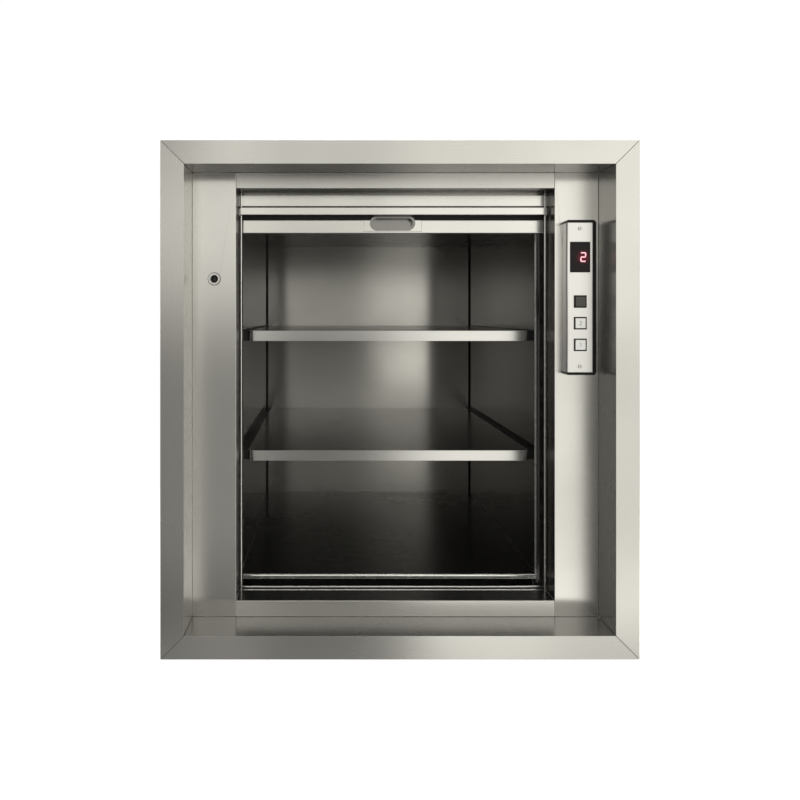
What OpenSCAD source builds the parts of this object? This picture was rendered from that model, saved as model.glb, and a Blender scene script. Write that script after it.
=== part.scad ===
// Dumbwaiter lift: the top landing of a small service lift, with its car, its
// two-leaf vertical door and its roping machine, in a frame that stands by itself.
// X runs across the landing, Y into the shaft and Z up, in millimetres. The origin is
// the bottom centre of the whole lift. In the modules, depth is counted from the front
// face of the casing, and heights at the landing are counted from the top of the sill.

/* [Landing] */
// Clear width of the hatch
opening_w = 600; // [570:5:630]
// Clear height of the hatch
opening_h = 777; // [700:1:800]
// Height of the sill above the foot of the frame
sill_height = 1150; // [1100:10:1250]

/* [Casing] */
// Width of the casing's front flange
casing_face = 42; // [32:1:60]
// Thickness of the casing and jamb sheet
casing_sheet = 1.5; // [1:0.1:2.5]
// Depth of the casing's outer hem
casing_hem = 10; // [6:1:14]
// Depth from the casing's face to the jamb faces
reveal_depth = 71; // [50:1:90]
// Width of the foot that bolts the casing to the frame
casing_foot = 20; // [14:1:22]
// Gap left at each mitre
mitre_gap = 0.3; // [0.2:0.1:0.6]

/* [Jambs] */
// Width of each jamb face
jamb_face = 82.5; // [78:0.5:90]
// Height of the header face
header_face = 29; // [22:1:36]
// Height of the sill's front face
sill_face = 30; // [22:1:40]
// Depth of the returns at the sides of the hatch
jamb_return = 44; // [36:1:46]
// Depth of the returns behind the casing
jamb_back_return = 28; // [20:1:32]
// Depth of the header's lower return
header_return = 24; // [16:1:28]
// Depth of the sill's top
sill_depth = 46; // [36:1:48]

/* [Head rails] */
// Distance of the lower head rail's lower edge below the header
lower_rail_drop = 45; // [42:1:48]
// Face height of the lower head rail
lower_rail_h = 13.6; // [10:0.2:16]
// Depth of the lower rail's face behind the jamb faces
lower_rail_set = 30; // [26:1:34]
// Distance of the upper head rail's lower edge below the header
upper_rail_drop = 27.5; // [26:0.5:28]
// Face height of the upper head rail
upper_rail_h = 21; // [16:1:24]
// Depth of the upper rail's face behind the jamb faces
upper_rail_set = 38; // [34:1:40]
// Depth at which both rails end, behind the jamb faces
rail_back_set = 46; // [44:1:47]

/* [Door leaves] */
// Thickness of each door leaf
leaf_t = 18; // [16:1:22]
// Thickness of the leaves' sheet
leaf_sheet = 1.5; // [1:0.1:2]
// Overlap of the leaf behind each side of the hatch
leaf_side_lap = 10; // [8:1:14]
// Overlap of the closed leaves above the header and below the sill
leaf_lap = 20; // [12:1:30]
// Distance of the open upper leaf's lower edge below the header
upper_leaf_drop = 78; // [75:1:90]
// Depth of the open lower leaf's upper edge below the sill
lower_leaf_drop = 3; // [0:0.5:6]
// Gap between the closed leaves
meeting_gap = 2; // [1:0.5:4]
// Width of the flange that stiffens each leaf at the back
leaf_flange = 40; // [38:1:60]
// Height of the grip rail along the upper leaf's lower edge
grip_h = 24.5; // [20:0.5:28]
// How far the grip rail stands proud of the leaf
grip_proud = 3; // [2:0.2:3]
// Depth of the seal groove in the lower leaf's upper edge
groove_deep = 3; // [2:0.5:5]

/* [Flush pull] */
// Length of the flush pull
pull_len = 89; // [70:1:110]
// Height of the flush pull
pull_h = 29; // [26:1:29]
// Width of its rim
pull_rim = 3; // [2:0.2:4]
// Depth of its dish behind the leaf's face
pull_deep = 12; // [8:0.5:14]
// Height of its centre above the leaf's lower edge
pull_up = 19; // [17:0.5:19]

/* [Door guides] */
// How far the guide's lips reach inside the hatch
guide_peep = 4; // [2:0.5:6]
// Width of the guide channel
guide_w = 34; // [31:1:38]
// Wall of the guide channel
guide_wall = 2; // [1.5:0.5:3]
// Gap between the jamb returns and the guides
guide_gap = 5; // [3:1:7]
// Clearance of the leaf in the guide on each face
guide_play = 1; // [0.5:0.1:1.5]
// Length of the guide beyond the open leaves
guide_over = 30; // [15:1:40]
// Height of each guide shoe
shoe_h = 40; // [25:1:60]

/* [Door ropes] */
// Diameter of the door rope
door_rope_d = 3; // [2:0.5:4]
// Pitch diameter of the door pulley
door_pulley_d = 60; // [50:1:70]
// Thickness of the door pulley
door_pulley_t = 10; // [8:1:12]
// Depth of the door ropes behind the guides
door_rope_set = 8; // [8:0.5:12]
// Height of the pulley axles above the guides
door_pulley_up = 35; // [34:1:50]
// Radius of the pulley pin
pulley_pin_r = 5; // [4:0.5:8]

/* [Car] */
// Clear width of the car
car_w = 614; // [600:2:630]
// Clear depth of the car
car_d = 600; // [500:10:700]
// Distance of the car's ceiling below the header
ceiling_drop = 34; // [20:1:37]
// Thickness of the car's sheet
car_sheet = 1.5; // [1:0.1:2]
// Running gap between the door guides and the car
car_gap = 49; // [35:1:70]
// Height of the car's folded pans at the floor and ceiling
pan_h = 18; // [12:1:24]
// Height of the floor's front lip
floor_lip = 7; // [5:0.5:10]
// Thickness of the hem along the front of the side walls
side_hem = 3; // [2.5:0.1:5]
// Width of the flange behind that hem, which closes the gap beside the car
side_return = 16; // [12:1:18]
// Height of the toe guard under the car's floor
apron_h = 60; // [40:2:75]

/* [Shelves] */
// Clear height above the upper shelf
upper_shelf_room = 238; // [200:1:260]
// Distance from the lower shelf's top to the upper shelf's top
shelf_pitch = 249; // [200:1:280]
// Height of a shelf's front edge
shelf_edge = 21; // [15:1:30]
// Radius of a shelf's front corners
shelf_corner = 12; // [8:1:25]
// Gap between a shelf and each side wall
shelf_side_gap = 13.5; // [12:0.5:24]
// Setback of a shelf behind the car's front
shelf_set = 2; // [0:0.5:6]
// Setback of the shelf supports behind the car's front
support_set = 14; // [10:1:40]

/* [Sling] */
// Width of the sling's channels
sling_w = 60; // [50:1:80]
// Wall of the sling's channels
sling_wall = 3; // [2:0.5:5]
// Reach of the uprights' flanges
sling_flange = 22; // [16:1:25]
// Length of a rope socket
socket_len = 40; // [30:1:60]

/* [Rails] */
// Height of a car rail's blade and foot
rail_h = 50; // [46:1:54]
// Width of a rail's foot
rail_foot = 50; // [40:1:60]
// Thickness of a rail
rail_t = 5; // [4:0.5:7]
// Gap between a rail's blade and the bottom of its shoe slot
rail_tip_gap = 1.5; // [1:0.1:3]
// Clearance of a shoe on each face of the blade
rail_play = 1; // [0.5:0.1:1.5]
// Height of each sliding shoe
slide_h = 40; // [30:1:60]

/* [Counterweight] */
// Width of the counterweight plates
weight_w = 440; // [380:5:460]
// Thickness of the counterweight
weight_t = 56; // [46:1:70]
// Height of one plate
weight_plate_h = 34; // [25:1:50]
// Number of plates
weight_count = 12; // [6:1:13]
// Gap between the plates
weight_slit = 0.4; // [0.2:0.1:1]
// Running gap between the car and the counterweight
weight_gap = 30; // [25:1:50]
// Height of the counterweight frame
weight_frame_h = 560; // [520:10:640]
// Height of the frame's two beams
weight_beam_h = 50; // [40:1:70]

/* [Standing frame] */
// Space between the car's wall and the outside of the frame
side_space = 111.5; // [108:0.5:125]
// Space behind the counterweight
rear_space = 49.5; // [45:0.5:60]
// Depth from the jamb faces to the front posts
post_set = 34; // [33:1:38]
// Leg of the corner posts
post_leg = 50; // [40:1:52]
// Thickness of the corner posts
post_t = 5; // [4:0.5:5]
// Height of the ties
tie_h = 50; // [40:1:60]
// Thickness of the ties
tie_t = 5; // [4:0.5:6]
// Height of the lowest ties
tie_first = 420; // [380:10:460]
// Distance between the rows of ties
tie_pitch = 650; // [600:10:660]
// Thickness of the foot plates
foot_t = 8; // [6:1:12]
// Side of a foot plate
foot_w = 110; // [100:1:120]
// Radius of the floor anchor holes
anchor_r = 7; // [5:0.5:9]
// Distance of an anchor hole from the frame's corner, along both sides
anchor_in = 75; // [70:1:85]
// Height of the beams at the foot of the frame
base_beam_h = 50; // [40:1:60]
// Radius of the wall anchor holes
wall_hole_r = 6.5; // [4:0.5:9]
// Distance between the wall anchor holes
wall_hole_pitch = 480; // [400:10:520]

/* [Buffers] */
// Height of a buffer
buffer_h = 57; // [50:1:60]
// Radius of the car's buffer
car_buffer_r = 40; // [30:1:50]
// Radius of the counterweight's buffer
weight_buffer_r = 25; // [15:1:27]
// Gap left above a buffer at the end of travel
buffer_gap = 5; // [3:0.5:10]

/* [Machine] */
// Diameter of each hoist rope
rope_d = 8; // [6:1:10]
// Distance between the two hoist ropes
rope_pitch = 20; // [18:1:24]
// Width of the sheave's rim
sheave_w = 44; // [40:1:50]
// Radius of the sheave's shaft
shaft_r = 20; // [15:1:24]
// Height of the sheave's axis above the machine bed
sheave_up = 110; // [90:1:130]
// Height of the bed's cross beams
bed_cross_h = 60; // [50:1:80]
// Height of the bed's long beams
bed_long_h = 40; // [30:1:60]
// Width of a bed beam
bed_beam_w = 40; // [36:1:40]
// Radius of the worm gear case
gear_case_r = 82; // [70:1:88]
// Radius of the motor's frame
motor_r = 60; // [45:1:66]
// Length of the motor
motor_len = 230; // [180:5:240]
// Radial running clearance of shafts and pins
run_fit = 0.05; // [0.02:0.01:0.1]

/* [Control box] */
// Distance of the box's centre from the side of the hatch
box_in = 39; // [36:1:42]
// Distance of the box's upper end below the header
box_drop = 62.9; // [40:0.1:80]
// Width of the box's cover
box_w = 50; // [48:1:54]
// Height of the box
box_h = 287; // [260:1:320]
// How far the cover stands proud of the jamb
box_proud = 22; // [16:1:30]
// Wall of the cover
box_wall = 1.5; // [1:0.1:2]
// Radius of the cover's front edges
box_edge_r = 3; // [2:0.5:5]
// Width of the black edging
edging_w = 5; // [3:0.5:6]
// Width of the display window
window_w = 37; // [30:1:40]
// Height of the display window
window_h = 56; // [45:1:60]
// Distance of the window's centre below the box's upper end
window_drop = 68.9; // [55:0.1:75]
// Height of the displayed digit
digit_h = 18; // [12:1:24]
// Width of the displayed digit
digit_w = 11; // [8:0.5:13]
// Width of the digit's strokes
digit_stroke = 2.2; // [1.5:0.1:3]
// How far the digit sits to the right of the window's centre
digit_right = 5.5; // [0:0.5:6]
// Outer size of a button bezel
bezel_w = 23; // [21:0.5:26]
// Size of a button's face
button_w = 18; // [14:0.5:18.5]
// Distance between the buttons
button_pitch = 40; // [30:1:42]
// Height of the lowest button's centre above the box's lower end
button_rise = 55.9; // [45:0.1:60]
// Travel of a button
button_travel = 1.8; // [1:0.1:2.5]
// Distance of the panel screws from the box's ends
screw_in = 15.9; // [14:0.1:18]
// Radius of a panel screw's head
screw_head_r = 3.5; // [2.5:0.1:4.5]

/* [Door release] */
// Distance of the release from the side of the hatch
release_in = 41; // [36:0.5:44]
// Distance of the release below the header
release_drop = 171; // [130:1:220]
// Radius of its ring
release_ring_r = 11; // [9:0.5:14]
// Inner radius of its ring
release_bore_r = 7.5; // [6.5:0.1:8.5]
// Radius of the spindle's three-sided end
release_key_r = 5.5; // [4:0.1:6]

/* [Hidden] */

$fn = 48;
// Gap left between flat faces of neighbours, and between bolted pieces of one node
seat = 0.2;
// Overlap of solids that are joined within a piece, and of cuts past a face
bite = 1;

// Casing
inner_w = opening_w + 2 * jamb_face;
inner_h = opening_h + header_face + sill_face;
casing_mid_z = (opening_h + header_face - sill_face) / 2;
header_top = opening_h + header_face;
lower_rail_z = opening_h - lower_rail_drop;
upper_rail_z = opening_h - upper_rail_drop;
rail_tab = 6;

// Depths behind the casing's face
post_front = reveal_depth + post_set;
jamb_back = reveal_depth + jamb_return;
guide_front = jamb_back + guide_gap;
leaf_front = guide_front + guide_wall + guide_play;
leaf_back = leaf_front + leaf_t;
guide_back = leaf_back + guide_play + guide_wall;
door_rope_depth = guide_back + door_rope_set;
car_front = guide_back + car_gap;
car_mid = car_front + car_d / 2;
car_rear = car_front + car_d + car_sheet;
weight_mid = car_rear + weight_gap + weight_t / 2;
frame_back = weight_mid + weight_t / 2 + rear_space;
front_y = -frame_back / 2;

// Half widths
hatch_x = opening_w / 2;
leaf_x = hatch_x + leaf_side_lap;
guide_in = hatch_x - guide_peep;
guide_out = guide_in + guide_w;
shoe_x = guide_out - guide_wall - guide_play;
frame_x = car_w / 2 + car_sheet + side_space;
post_in = frame_x - post_leg;
tie_x = frame_x - post_t - tie_t;
upper_rope_x = hatch_x;
lower_rope_x = upper_rope_x + door_pulley_d;
pulley_x = upper_rope_x + door_pulley_d / 2;

// Door heights above the sill
upper_leaf_rest = opening_h - upper_leaf_drop;
lower_leaf_rest = -lower_leaf_drop;
door_travel = (upper_leaf_rest - lower_leaf_rest - meeting_gap) / 2;
upper_leaf_h = opening_h + leaf_lap - (upper_leaf_rest - door_travel);
lower_leaf_h = lower_leaf_rest + door_travel + leaf_lap;
upper_leaf_top = upper_leaf_rest + upper_leaf_h;
lower_leaf_bottom = lower_leaf_rest - lower_leaf_h;
guide_top = upper_leaf_top + guide_over;
guide_bottom = lower_leaf_bottom - guide_over / 2;
pulley_z = guide_top + door_pulley_up;
guide_lug_t = 4;
guide_lug_h = 40;
guide_lug_lap = 30;
guide_lug_end = 60;
guide_lug_clear = 98.5;
guide_lug_front = post_front + post_t + seat;
guide_lug_levels = [
    guide_bottom + guide_lug_end,
    -sill_face - casing_sheet - tie_h - guide_lug_clear,
    header_top + casing_sheet + tie_h + guide_lug_clear,
    guide_top - guide_lug_end
];
pulley_rim_r = door_pulley_d / 2 + 3;
pulley_side_gap = 1;
pulley_plate_t = 4;
pulley_plate_h = 28;
pulley_foot = 44;
pin_head_t = 3;
pin_head_over = 3;
groove_ease = 0.3;
lug_down = 5;
lug_h = 30;
lug_riser = 24;
lug_in = guide_in - lug_riser - 4;
lug_back = 5;
lug_t = 4;
lug_over = 10;
shoe_in = 6;
groove_side = 3;
grip_in = 3;
pull_rim_t = 1.2;
pull_wall = 1.5;
pull_plate_side = 12;
pull_plate_over = 28;
pull_plate_gap = 0.1;

// Frame heights above its foot
post_over = 35;
post_top = sill_height + pulley_z + post_over;
tie_levels = [for (i = [0:2]) tie_first + i * tie_pitch];
top_tie_z = post_top - tie_h / 2;
rail_top = post_top - 4 * tie_t;
beam_top = foot_t + seat + base_beam_h;
rail_bottom = beam_top + 2;
buffer_top = beam_top + buffer_h;

// Car
car_h = opening_h - ceiling_drop;
upper_shelf_z = car_h - upper_shelf_room;
lower_shelf_z = upper_shelf_z - shelf_pitch;
side_hem_w = 12;
apron_set = 20;

// Sling, shoes and rails
car_half = car_w / 2;
sling_web = car_half + car_sheet + seat;
sling_out = sling_web + sling_flange;
shoe_body = 11.5;
rail_tip = sling_out + shoe_body;
rail_back = rail_tip + rail_h;
slide_lap = 22;
slide_half = sling_w / 2 - sling_wall - 3;
plank_bottom = -pan_h - seat - sling_w;
crosshead_z = car_h + pan_h + seat;
socket_rod_r = 5;
socket_r = rope_d / 2 + 3;
socket_cup = 18;
crosshead_top = crosshead_z + sling_w;
hitch_top = crosshead_top + socket_len;

// Counterweight
weight_bottom = buffer_top + buffer_gap;
weight_top = weight_bottom + weight_frame_h;
weight_side = weight_w / 2 + seat;
weight_wall = 6;
weight_shoe_body = 9;
weight_slide_half = weight_t / 4;
weight_shoe_in = weight_side + weight_wall;
weight_rail_tip = weight_shoe_in + weight_shoe_body;
weight_rail_h = 40;
weight_foot = rail_foot - 6;
bracket_h = 40;
bracket_w = 60;
weight_rail_back = weight_rail_tip + weight_rail_h;

// Machine
bed_top = post_top + seat + bed_cross_h + seat + bed_long_h;
sheave_z = bed_top + sheave_up;
sheave_mid = (car_mid + weight_mid) / 2;
sheave_pitch_r = (weight_mid - car_mid) / 2;
rope_sides = [-rope_pitch / 2, rope_pitch / 2];
bearing_x = -90;
gear_x = 62;
gear_w = 84;
gear_mid_x = gear_x + gear_w / 2;
worm_up = 70;
worm_r = 42;
outer_beam_x = gear_x + gear_w + 30;
gear_flange_t = 8;
gear_base_d = 120;
gear_foot_d = 140;
gear_foot_t = 12;
shaft_grip = 40;
pedestal_d = 90;
pedestal_over = 38;
rim_deep = 24;
rim_over = 6;
hub_wall = 18;
disc_t = 12;
disc_hole_r = 30;
fin_depth = 6;
fin_t = 2.4;
fin_turn = 15;
motor_core_r = motor_r - fin_depth;
brake_len = 66;
terminal_w = 56;
terminal_h = 26;
terminal_len = 90;
bed_front = car_mid - 93;

// Control box
box_x = hatch_x + box_in;
box_z = opening_h - box_drop - box_h / 2;
window_z = box_z + box_h / 2 - window_drop;
screw_up = box_h / 2 - screw_in;
box_front = reveal_depth - box_proud;
cover_h = box_h - 2 * edging_w;
button_x = box_x;
button_levels = [for (i = [2:-1:0]) box_z - box_h / 2 + button_rise + i * button_pitch];
edging_lap = 1;
bezel_lip = 1.2;
bezel_front = box_front - seat - bezel_lip;
button_deep = 11;
bezel_deep = button_deep - bezel_lip + button_travel;
bezel_body = bezel_w - 1.4;
button_play = 0.3;
button_proud = 1;
screw_r = 2;
screw_head_t = 1.8;
screw_slot = 0.9;
screw_len = 8;
window_t = 4;
digit_proud = 0.5;

// Door release
release_x = -(hatch_x + release_in);
release_z = opening_h - release_drop;
release_deep = 24;
release_ring_t = 2;
ring_front = reveal_depth - seat - release_ring_t;
release_tube_r = release_bore_r + 1;
spindle_r = 4;
lock_w = 50;
lock_h = 80;
lock_deep = post_set - 1.5 * casing_sheet;
lock_front = reveal_depth + casing_sheet + seat;
collar_t = 4;
key_len = 14;

// Colours
steel = [0.80, 0.79, 0.77];
dull_steel = [0.62, 0.62, 0.61];
frame_grey = [0.36, 0.39, 0.42];
galvanised = [0.66, 0.68, 0.69];
black = [0.07, 0.07, 0.08];
nylon = [0.90, 0.88, 0.82];
rope_grey = [0.45, 0.45, 0.43];
machine_green = [0.20, 0.30, 0.33];
white = [0.94, 0.94, 0.92];
red = [0.95, 0.25, 0.30];

// ---- Shared shapes ----

// A block between two corners given as ranges
module block(x, y, z) {
    translate([x[0], y[0], z[0]]) cube([x[1] - x[0], y[1] - y[0], z[1] - z[0]]);
}

// Depth from the casing's face, height from the frame's foot
module in_shaft() {
    translate([0, front_y, 0]) children();
}

// Depth from the casing's face, height from the sill
module at_landing() {
    translate([0, front_y, sill_height]) children();
}

// Depth from the car's front, height from the car's floor
module in_car() {
    translate([0, front_y + car_front, sill_height]) children();
}

module both_sides() {
    children();
    mirror([1, 0, 0]) children();
}

// A cylinder that starts at a point and runs into the shaft
module rod_y(point, r, len) {
    translate(point) rotate([-90, 0, 0]) cylinder(r = r, h = len);
}

// A cylinder that starts at a point and runs to the right
module rod_x(point, r, len) {
    translate(point) rotate([0, 90, 0]) cylinder(r = r, h = len);
}

// A channel that runs along X and opens downwards
module channel_x(x, y, z, wall) {
    difference() {
        block(x, y, z);
        block([x[0] - bite, x[1] + bite], [y[0] + wall, y[1] - wall], [z[0] - bite, z[1] - wall]);
    }
}

// A channel that runs along Y and opens downwards
module channel_y(x, y, z, wall) {
    difference() {
        block(x, y, z);
        block([x[0] + wall, x[1] - wall], [y[0] - bite, y[1] + bite], [z[0] - bite, z[1] - wall]);
    }
}

// A guide rail that stands upright, its blade towards the middle of the shaft
module tee_rail(tip, back, depth, foot, z) {
    block([tip, back], [depth - rail_t / 2, depth + rail_t / 2], z);
    block([back - rail_t, back], [depth - foot / 2, depth + foot / 2], z);
}

// A shoe that slides on a rail's blade
module slide_shoe(inner, tip, depth, half, z) {
    slot = tip - rail_tip_gap;
    difference() {
        block([inner, tip + slide_lap], [depth - half, depth + half], [z - slide_h / 2, z + slide_h / 2]);
        block([slot, tip + slide_lap + bite],
              [depth - rail_t / 2 - rail_play, depth + rail_t / 2 + rail_play],
              [z - slide_h / 2 - bite, z + slide_h / 2 + bite]);
    }
}

// ---- Standing frame ----

module foot_plate() {
    difference() {
        block([frame_x - foot_w, frame_x], [0, foot_w], [0, foot_t]);
        translate([frame_x - anchor_in, anchor_in, -bite]) cylinder(r = anchor_r, h = foot_t + 2 * bite);
    }
}

module base_frame() color(frame_grey) in_shaft() {
    z = [foot_t + seat, beam_top];
    both_sides() {
        translate([0, post_front, 0]) foot_plate();
        translate([0, frame_back, 0]) mirror([0, 1, 0]) foot_plate();
        block([tie_x, tie_x + tie_t - seat], [post_front + post_t + seat, frame_back - post_t - seat], z);
    }
    for (y = [post_front + post_t + seat, frame_back - post_t - seat - tie_t])
        block([-tie_x + seat, tie_x - seat], [y, y + tie_t], z);
    channel_x([-tie_x + seat, tie_x - seat], [car_mid - sling_w / 2, car_mid + sling_w / 2], z, tie_t);
    channel_y([-sling_w / 2, sling_w / 2],
              [car_mid + sling_w / 2 + seat, frame_back - post_t - tie_t - 2 * seat], z, tie_t);
}

module corner_posts() color(frame_grey) in_shaft() both_sides() {
    z = [foot_t + seat, post_top];
    block([post_in, frame_x], [post_front, post_front + post_t], z);
    block([frame_x - post_t, frame_x], [post_front, post_front + post_leg], z);
    block([post_in, frame_x], [frame_back - post_t, frame_back], z);
    block([frame_x - post_t, frame_x], [frame_back - post_leg, frame_back], z);
}

module side_tie(z) {
    block([tie_x, tie_x + tie_t - seat], [post_front + post_t + seat, frame_back - post_t - seat],
          [z - tie_h / 2, z + tie_h / 2]);
}

module rear_tie(z) {
    y = frame_back - post_t - seat - tie_t;
    block([-tie_x + seat, tie_x - seat], [y, y + tie_t], [z - tie_h / 2, z + tie_h / 2]);
}

module cross_rails() color(frame_grey) in_shaft() {
    both_sides() {
        for (z = tie_levels) side_tie(z);
        side_tie(top_tie_z);
        block([post_in, tie_x + tie_t - seat], [post_front + post_leg + bite, frame_back - post_leg - bite],
              [post_top - tie_t, post_top]);
    }
    rear_tie(tie_levels[0]);
    rear_tie(top_tie_z);
    difference() {
        union() {
            rear_tie(tie_levels[1]);
            rear_tie(tie_levels[2]);
        }
        for (x = [-wall_hole_pitch / 2, wall_hole_pitch / 2], z = [tie_levels[1], tie_levels[2]])
            rod_y([x, frame_back - post_t - tie_t - seat - bite, z], wall_hole_r, tie_t + 2 * bite);
    }
    for (z = [sill_height - sill_face - casing_sheet - tie_h, sill_height + header_top + casing_sheet])
        block([-post_in + seat, post_in - seat], [post_front, post_front + post_t], [z, z + tie_h]);
}

module machine_bed() color(frame_grey) in_shaft() {
    low = [post_top + seat, post_top + seat + bed_cross_h];
    high = [low[1] + seat, bed_top];
    y_end = frame_back - post_t;
    for (y = [bed_front, y_end - bed_beam_w])
        channel_x([-tie_x - tie_t + seat, tie_x + tie_t - seat], [y, y + bed_beam_w], low, tie_t);
    for (x = [bearing_x - bed_beam_w / 2, gear_x, outer_beam_x])
        channel_y([x, x + bed_beam_w], [bed_front, y_end], high, tie_t);
    difference() {
        block([bearing_x - bed_beam_w / 2, bearing_x + bed_beam_w / 2],
              [sheave_mid - pedestal_d / 2, sheave_mid + pedestal_d / 2],
              [bed_top + seat, sheave_z + pedestal_over]);
        rod_x([bearing_x - bed_beam_w, sheave_mid, sheave_z], shaft_r + run_fit, 2 * bed_beam_w);
    }
}

module car_guide_rails() color(dull_steel) in_shaft() both_sides()
    tee_rail(rail_tip, rail_back, car_mid, rail_foot, [rail_bottom, rail_top]);

module counterweight_rails() color(dull_steel) in_shaft() both_sides()
    tee_rail(weight_rail_tip, weight_rail_back, weight_mid, weight_foot, [rail_bottom, rail_top]);

module rail_brackets() color(galvanised) in_shaft() both_sides() {
    rear_face = frame_back - post_t - 2 * seat - tie_t;
    for (level = concat(tie_levels, [top_tie_z - tie_h / 4])) {
        z = [level - bracket_h / 2, level + bracket_h / 2];
        block([rail_back + seat, tie_x - seat], [car_mid - bracket_w / 2, car_mid + bracket_w / 2], z);
        block([weight_rail_back + seat, weight_rail_back + seat + tie_t],
              [weight_mid - weight_foot / 2, rear_face], z);
        block([weight_rail_back + seat, weight_rail_back + bracket_w], [rear_face - tie_t, rear_face], z);
    }
}

module pit_buffers() color(black) in_shaft() {
    translate([0, car_mid, beam_top + seat]) cylinder(r = car_buffer_r, h = buffer_h - seat);
    translate([0, weight_mid, beam_top + seat]) cylinder(r = weight_buffer_r, h = buffer_h - seat);
}

// ---- Casing and jambs ----

// One mitred strip of the casing, above the casing's centre: a front flange with a
// hem, a web along the reveal and a foot against the frame
module casing_strip(offset, half) {
    web = post_front - seat;
    intersection() {
        translate([-half - casing_face - bite, 0, offset]) rotate([90, 0, 90])
            linear_extrude(height = 2 * (half + casing_face + bite)) {
                square([casing_sheet, casing_face]);
                translate([0, casing_face - casing_sheet]) square([casing_hem, casing_sheet]);
                square([web, casing_sheet]);
                translate([web - casing_sheet, 0]) square([casing_sheet, casing_foot]);
            }
        translate([0, web + bite, 0]) rotate([90, 0, 0]) linear_extrude(height = web + 2 * bite)
            polygon([
                [-half + mitre_gap, offset],
                [-half - casing_face + mitre_gap, offset + casing_face],
                [half + casing_face - mitre_gap, offset + casing_face],
                [half - mitre_gap, offset]
            ]);
    }
}

module place_casing(turn) {
    at_landing() translate([0, 0, casing_mid_z]) rotate([0, turn, 0]) children();
}

module casing_top() color(steel) place_casing(0) casing_strip(inner_h / 2, inner_w / 2);
module casing_right() color(steel) place_casing(90) casing_strip(inner_w / 2, inner_h / 2);
module casing_bottom() color(dull_steel) place_casing(180) casing_strip(inner_h / 2, inner_w / 2);
module casing_left() color(dull_steel) place_casing(270) casing_strip(inner_w / 2, inner_h / 2);

// A jamb on the right side of the hatch
module jamb() {
    outer = inner_w / 2 - seat;
    z = [-sill_face + seat, header_top - seat];
    block([hatch_x, outer], [reveal_depth, reveal_depth + casing_sheet], z);
    block([hatch_x, hatch_x + casing_sheet], [reveal_depth, jamb_back], z);
    block([outer - casing_sheet, outer], [reveal_depth, reveal_depth + jamb_back_return], z);
}

module jamb_right() color(steel) at_landing() difference() {
    jamb();
    for (side = [-1, 1])
        rod_y([box_x, reveal_depth - bite, box_z + side * screw_up], screw_r + seat, casing_sheet + 2 * bite);
}

module jamb_left() color(dull_steel) at_landing() difference() {
    mirror([1, 0, 0]) jamb();
    rod_y([release_x, reveal_depth - bite, release_z], release_tube_r + seat, casing_sheet + 2 * bite);
}

module header() color(steel) at_landing() {
    x = [-hatch_x + seat, hatch_x - seat];
    back = reveal_depth + header_return;
    block(x, [reveal_depth, reveal_depth + casing_sheet], [opening_h, header_top - seat]);
    block(x, [reveal_depth, back], [opening_h, opening_h + casing_sheet]);
    block(x, [reveal_depth, back], [header_top - seat - casing_sheet, header_top - seat]);
}

module sill() color(steel) at_landing() {
    x = [-hatch_x + seat, hatch_x - seat];
    back = reveal_depth + sill_depth;
    block(x, [reveal_depth, reveal_depth + casing_sheet], [-sill_face + seat, 0]);
    block(x, [reveal_depth, back], [-casing_sheet, 0]);
    block(x, [back - casing_sheet, back], [-sill_face / 2, 0]);
    block(x, [reveal_depth, reveal_depth + header_return],
          [-sill_face + seat, -sill_face + seat + casing_sheet]);
}

// A folded rail across the head of the hatch, with a tab at each end
module head_rail(set, z, high) {
    front = reveal_depth + set;
    back = reveal_depth + rail_back_set;
    difference() {
        union() {
            block([-guide_in, guide_in], [front, back], [z, z + high]);
            block([-hatch_x + seat, hatch_x - seat], [back - rail_tab, back], [z, z + high]);
        }
        block([-guide_in + casing_sheet, guide_in - casing_sheet],
              [front + casing_sheet, back + bite], [z + casing_sheet, z + high - casing_sheet]);
    }
}

module head_rails() color(steel) at_landing() {
    head_rail(upper_rail_set, upper_rail_z, upper_rail_h);
    head_rail(lower_rail_set, lower_rail_z, lower_rail_h);
}

// ---- Door ----

// A door guide on the right: a channel, and lugs that bolt to the post
module door_guide() {
    z = [guide_bottom, guide_top];
    block([guide_out - guide_wall, guide_out], [guide_front, guide_back], z);
    block([guide_in, guide_out], [guide_front, guide_front + guide_wall], z);
    block([guide_in, guide_out], [guide_back - guide_wall, guide_back], z);
    root = guide_out - guide_lug_t;
    for (level = guide_lug_levels) {
        high = [level - guide_lug_h / 2, level + guide_lug_h / 2];
        block([root, post_in + guide_lug_lap], [guide_lug_front, guide_lug_front + guide_lug_t], high);
        block([root, guide_out], [guide_lug_front, guide_front + bite], high);
    }
}

module door_guide_right() color(galvanised) at_landing() door_guide();
module door_guide_left() color(galvanised) at_landing() mirror([1, 0, 0]) door_guide();

module door_pulley() {
    bore = pulley_pin_r + run_fit;
    groove_r = door_rope_d / 2 + groove_ease;
    translate([pulley_x, door_rope_depth, pulley_z]) rotate([90, 0, 0])
        rotate_extrude() difference() {
            translate([bore, -door_pulley_t / 2]) square([pulley_rim_r - bore, door_pulley_t]);
            translate([door_pulley_d / 2, 0]) circle(r = groove_r);
            translate([door_pulley_d / 2, -groove_r]) square([pulley_rim_r, 2 * groove_r]);
        }
}

module door_pulley_right() color(nylon) at_landing() door_pulley();
module door_pulley_left() color(nylon) at_landing() mirror([1, 0, 0]) door_pulley();

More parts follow.
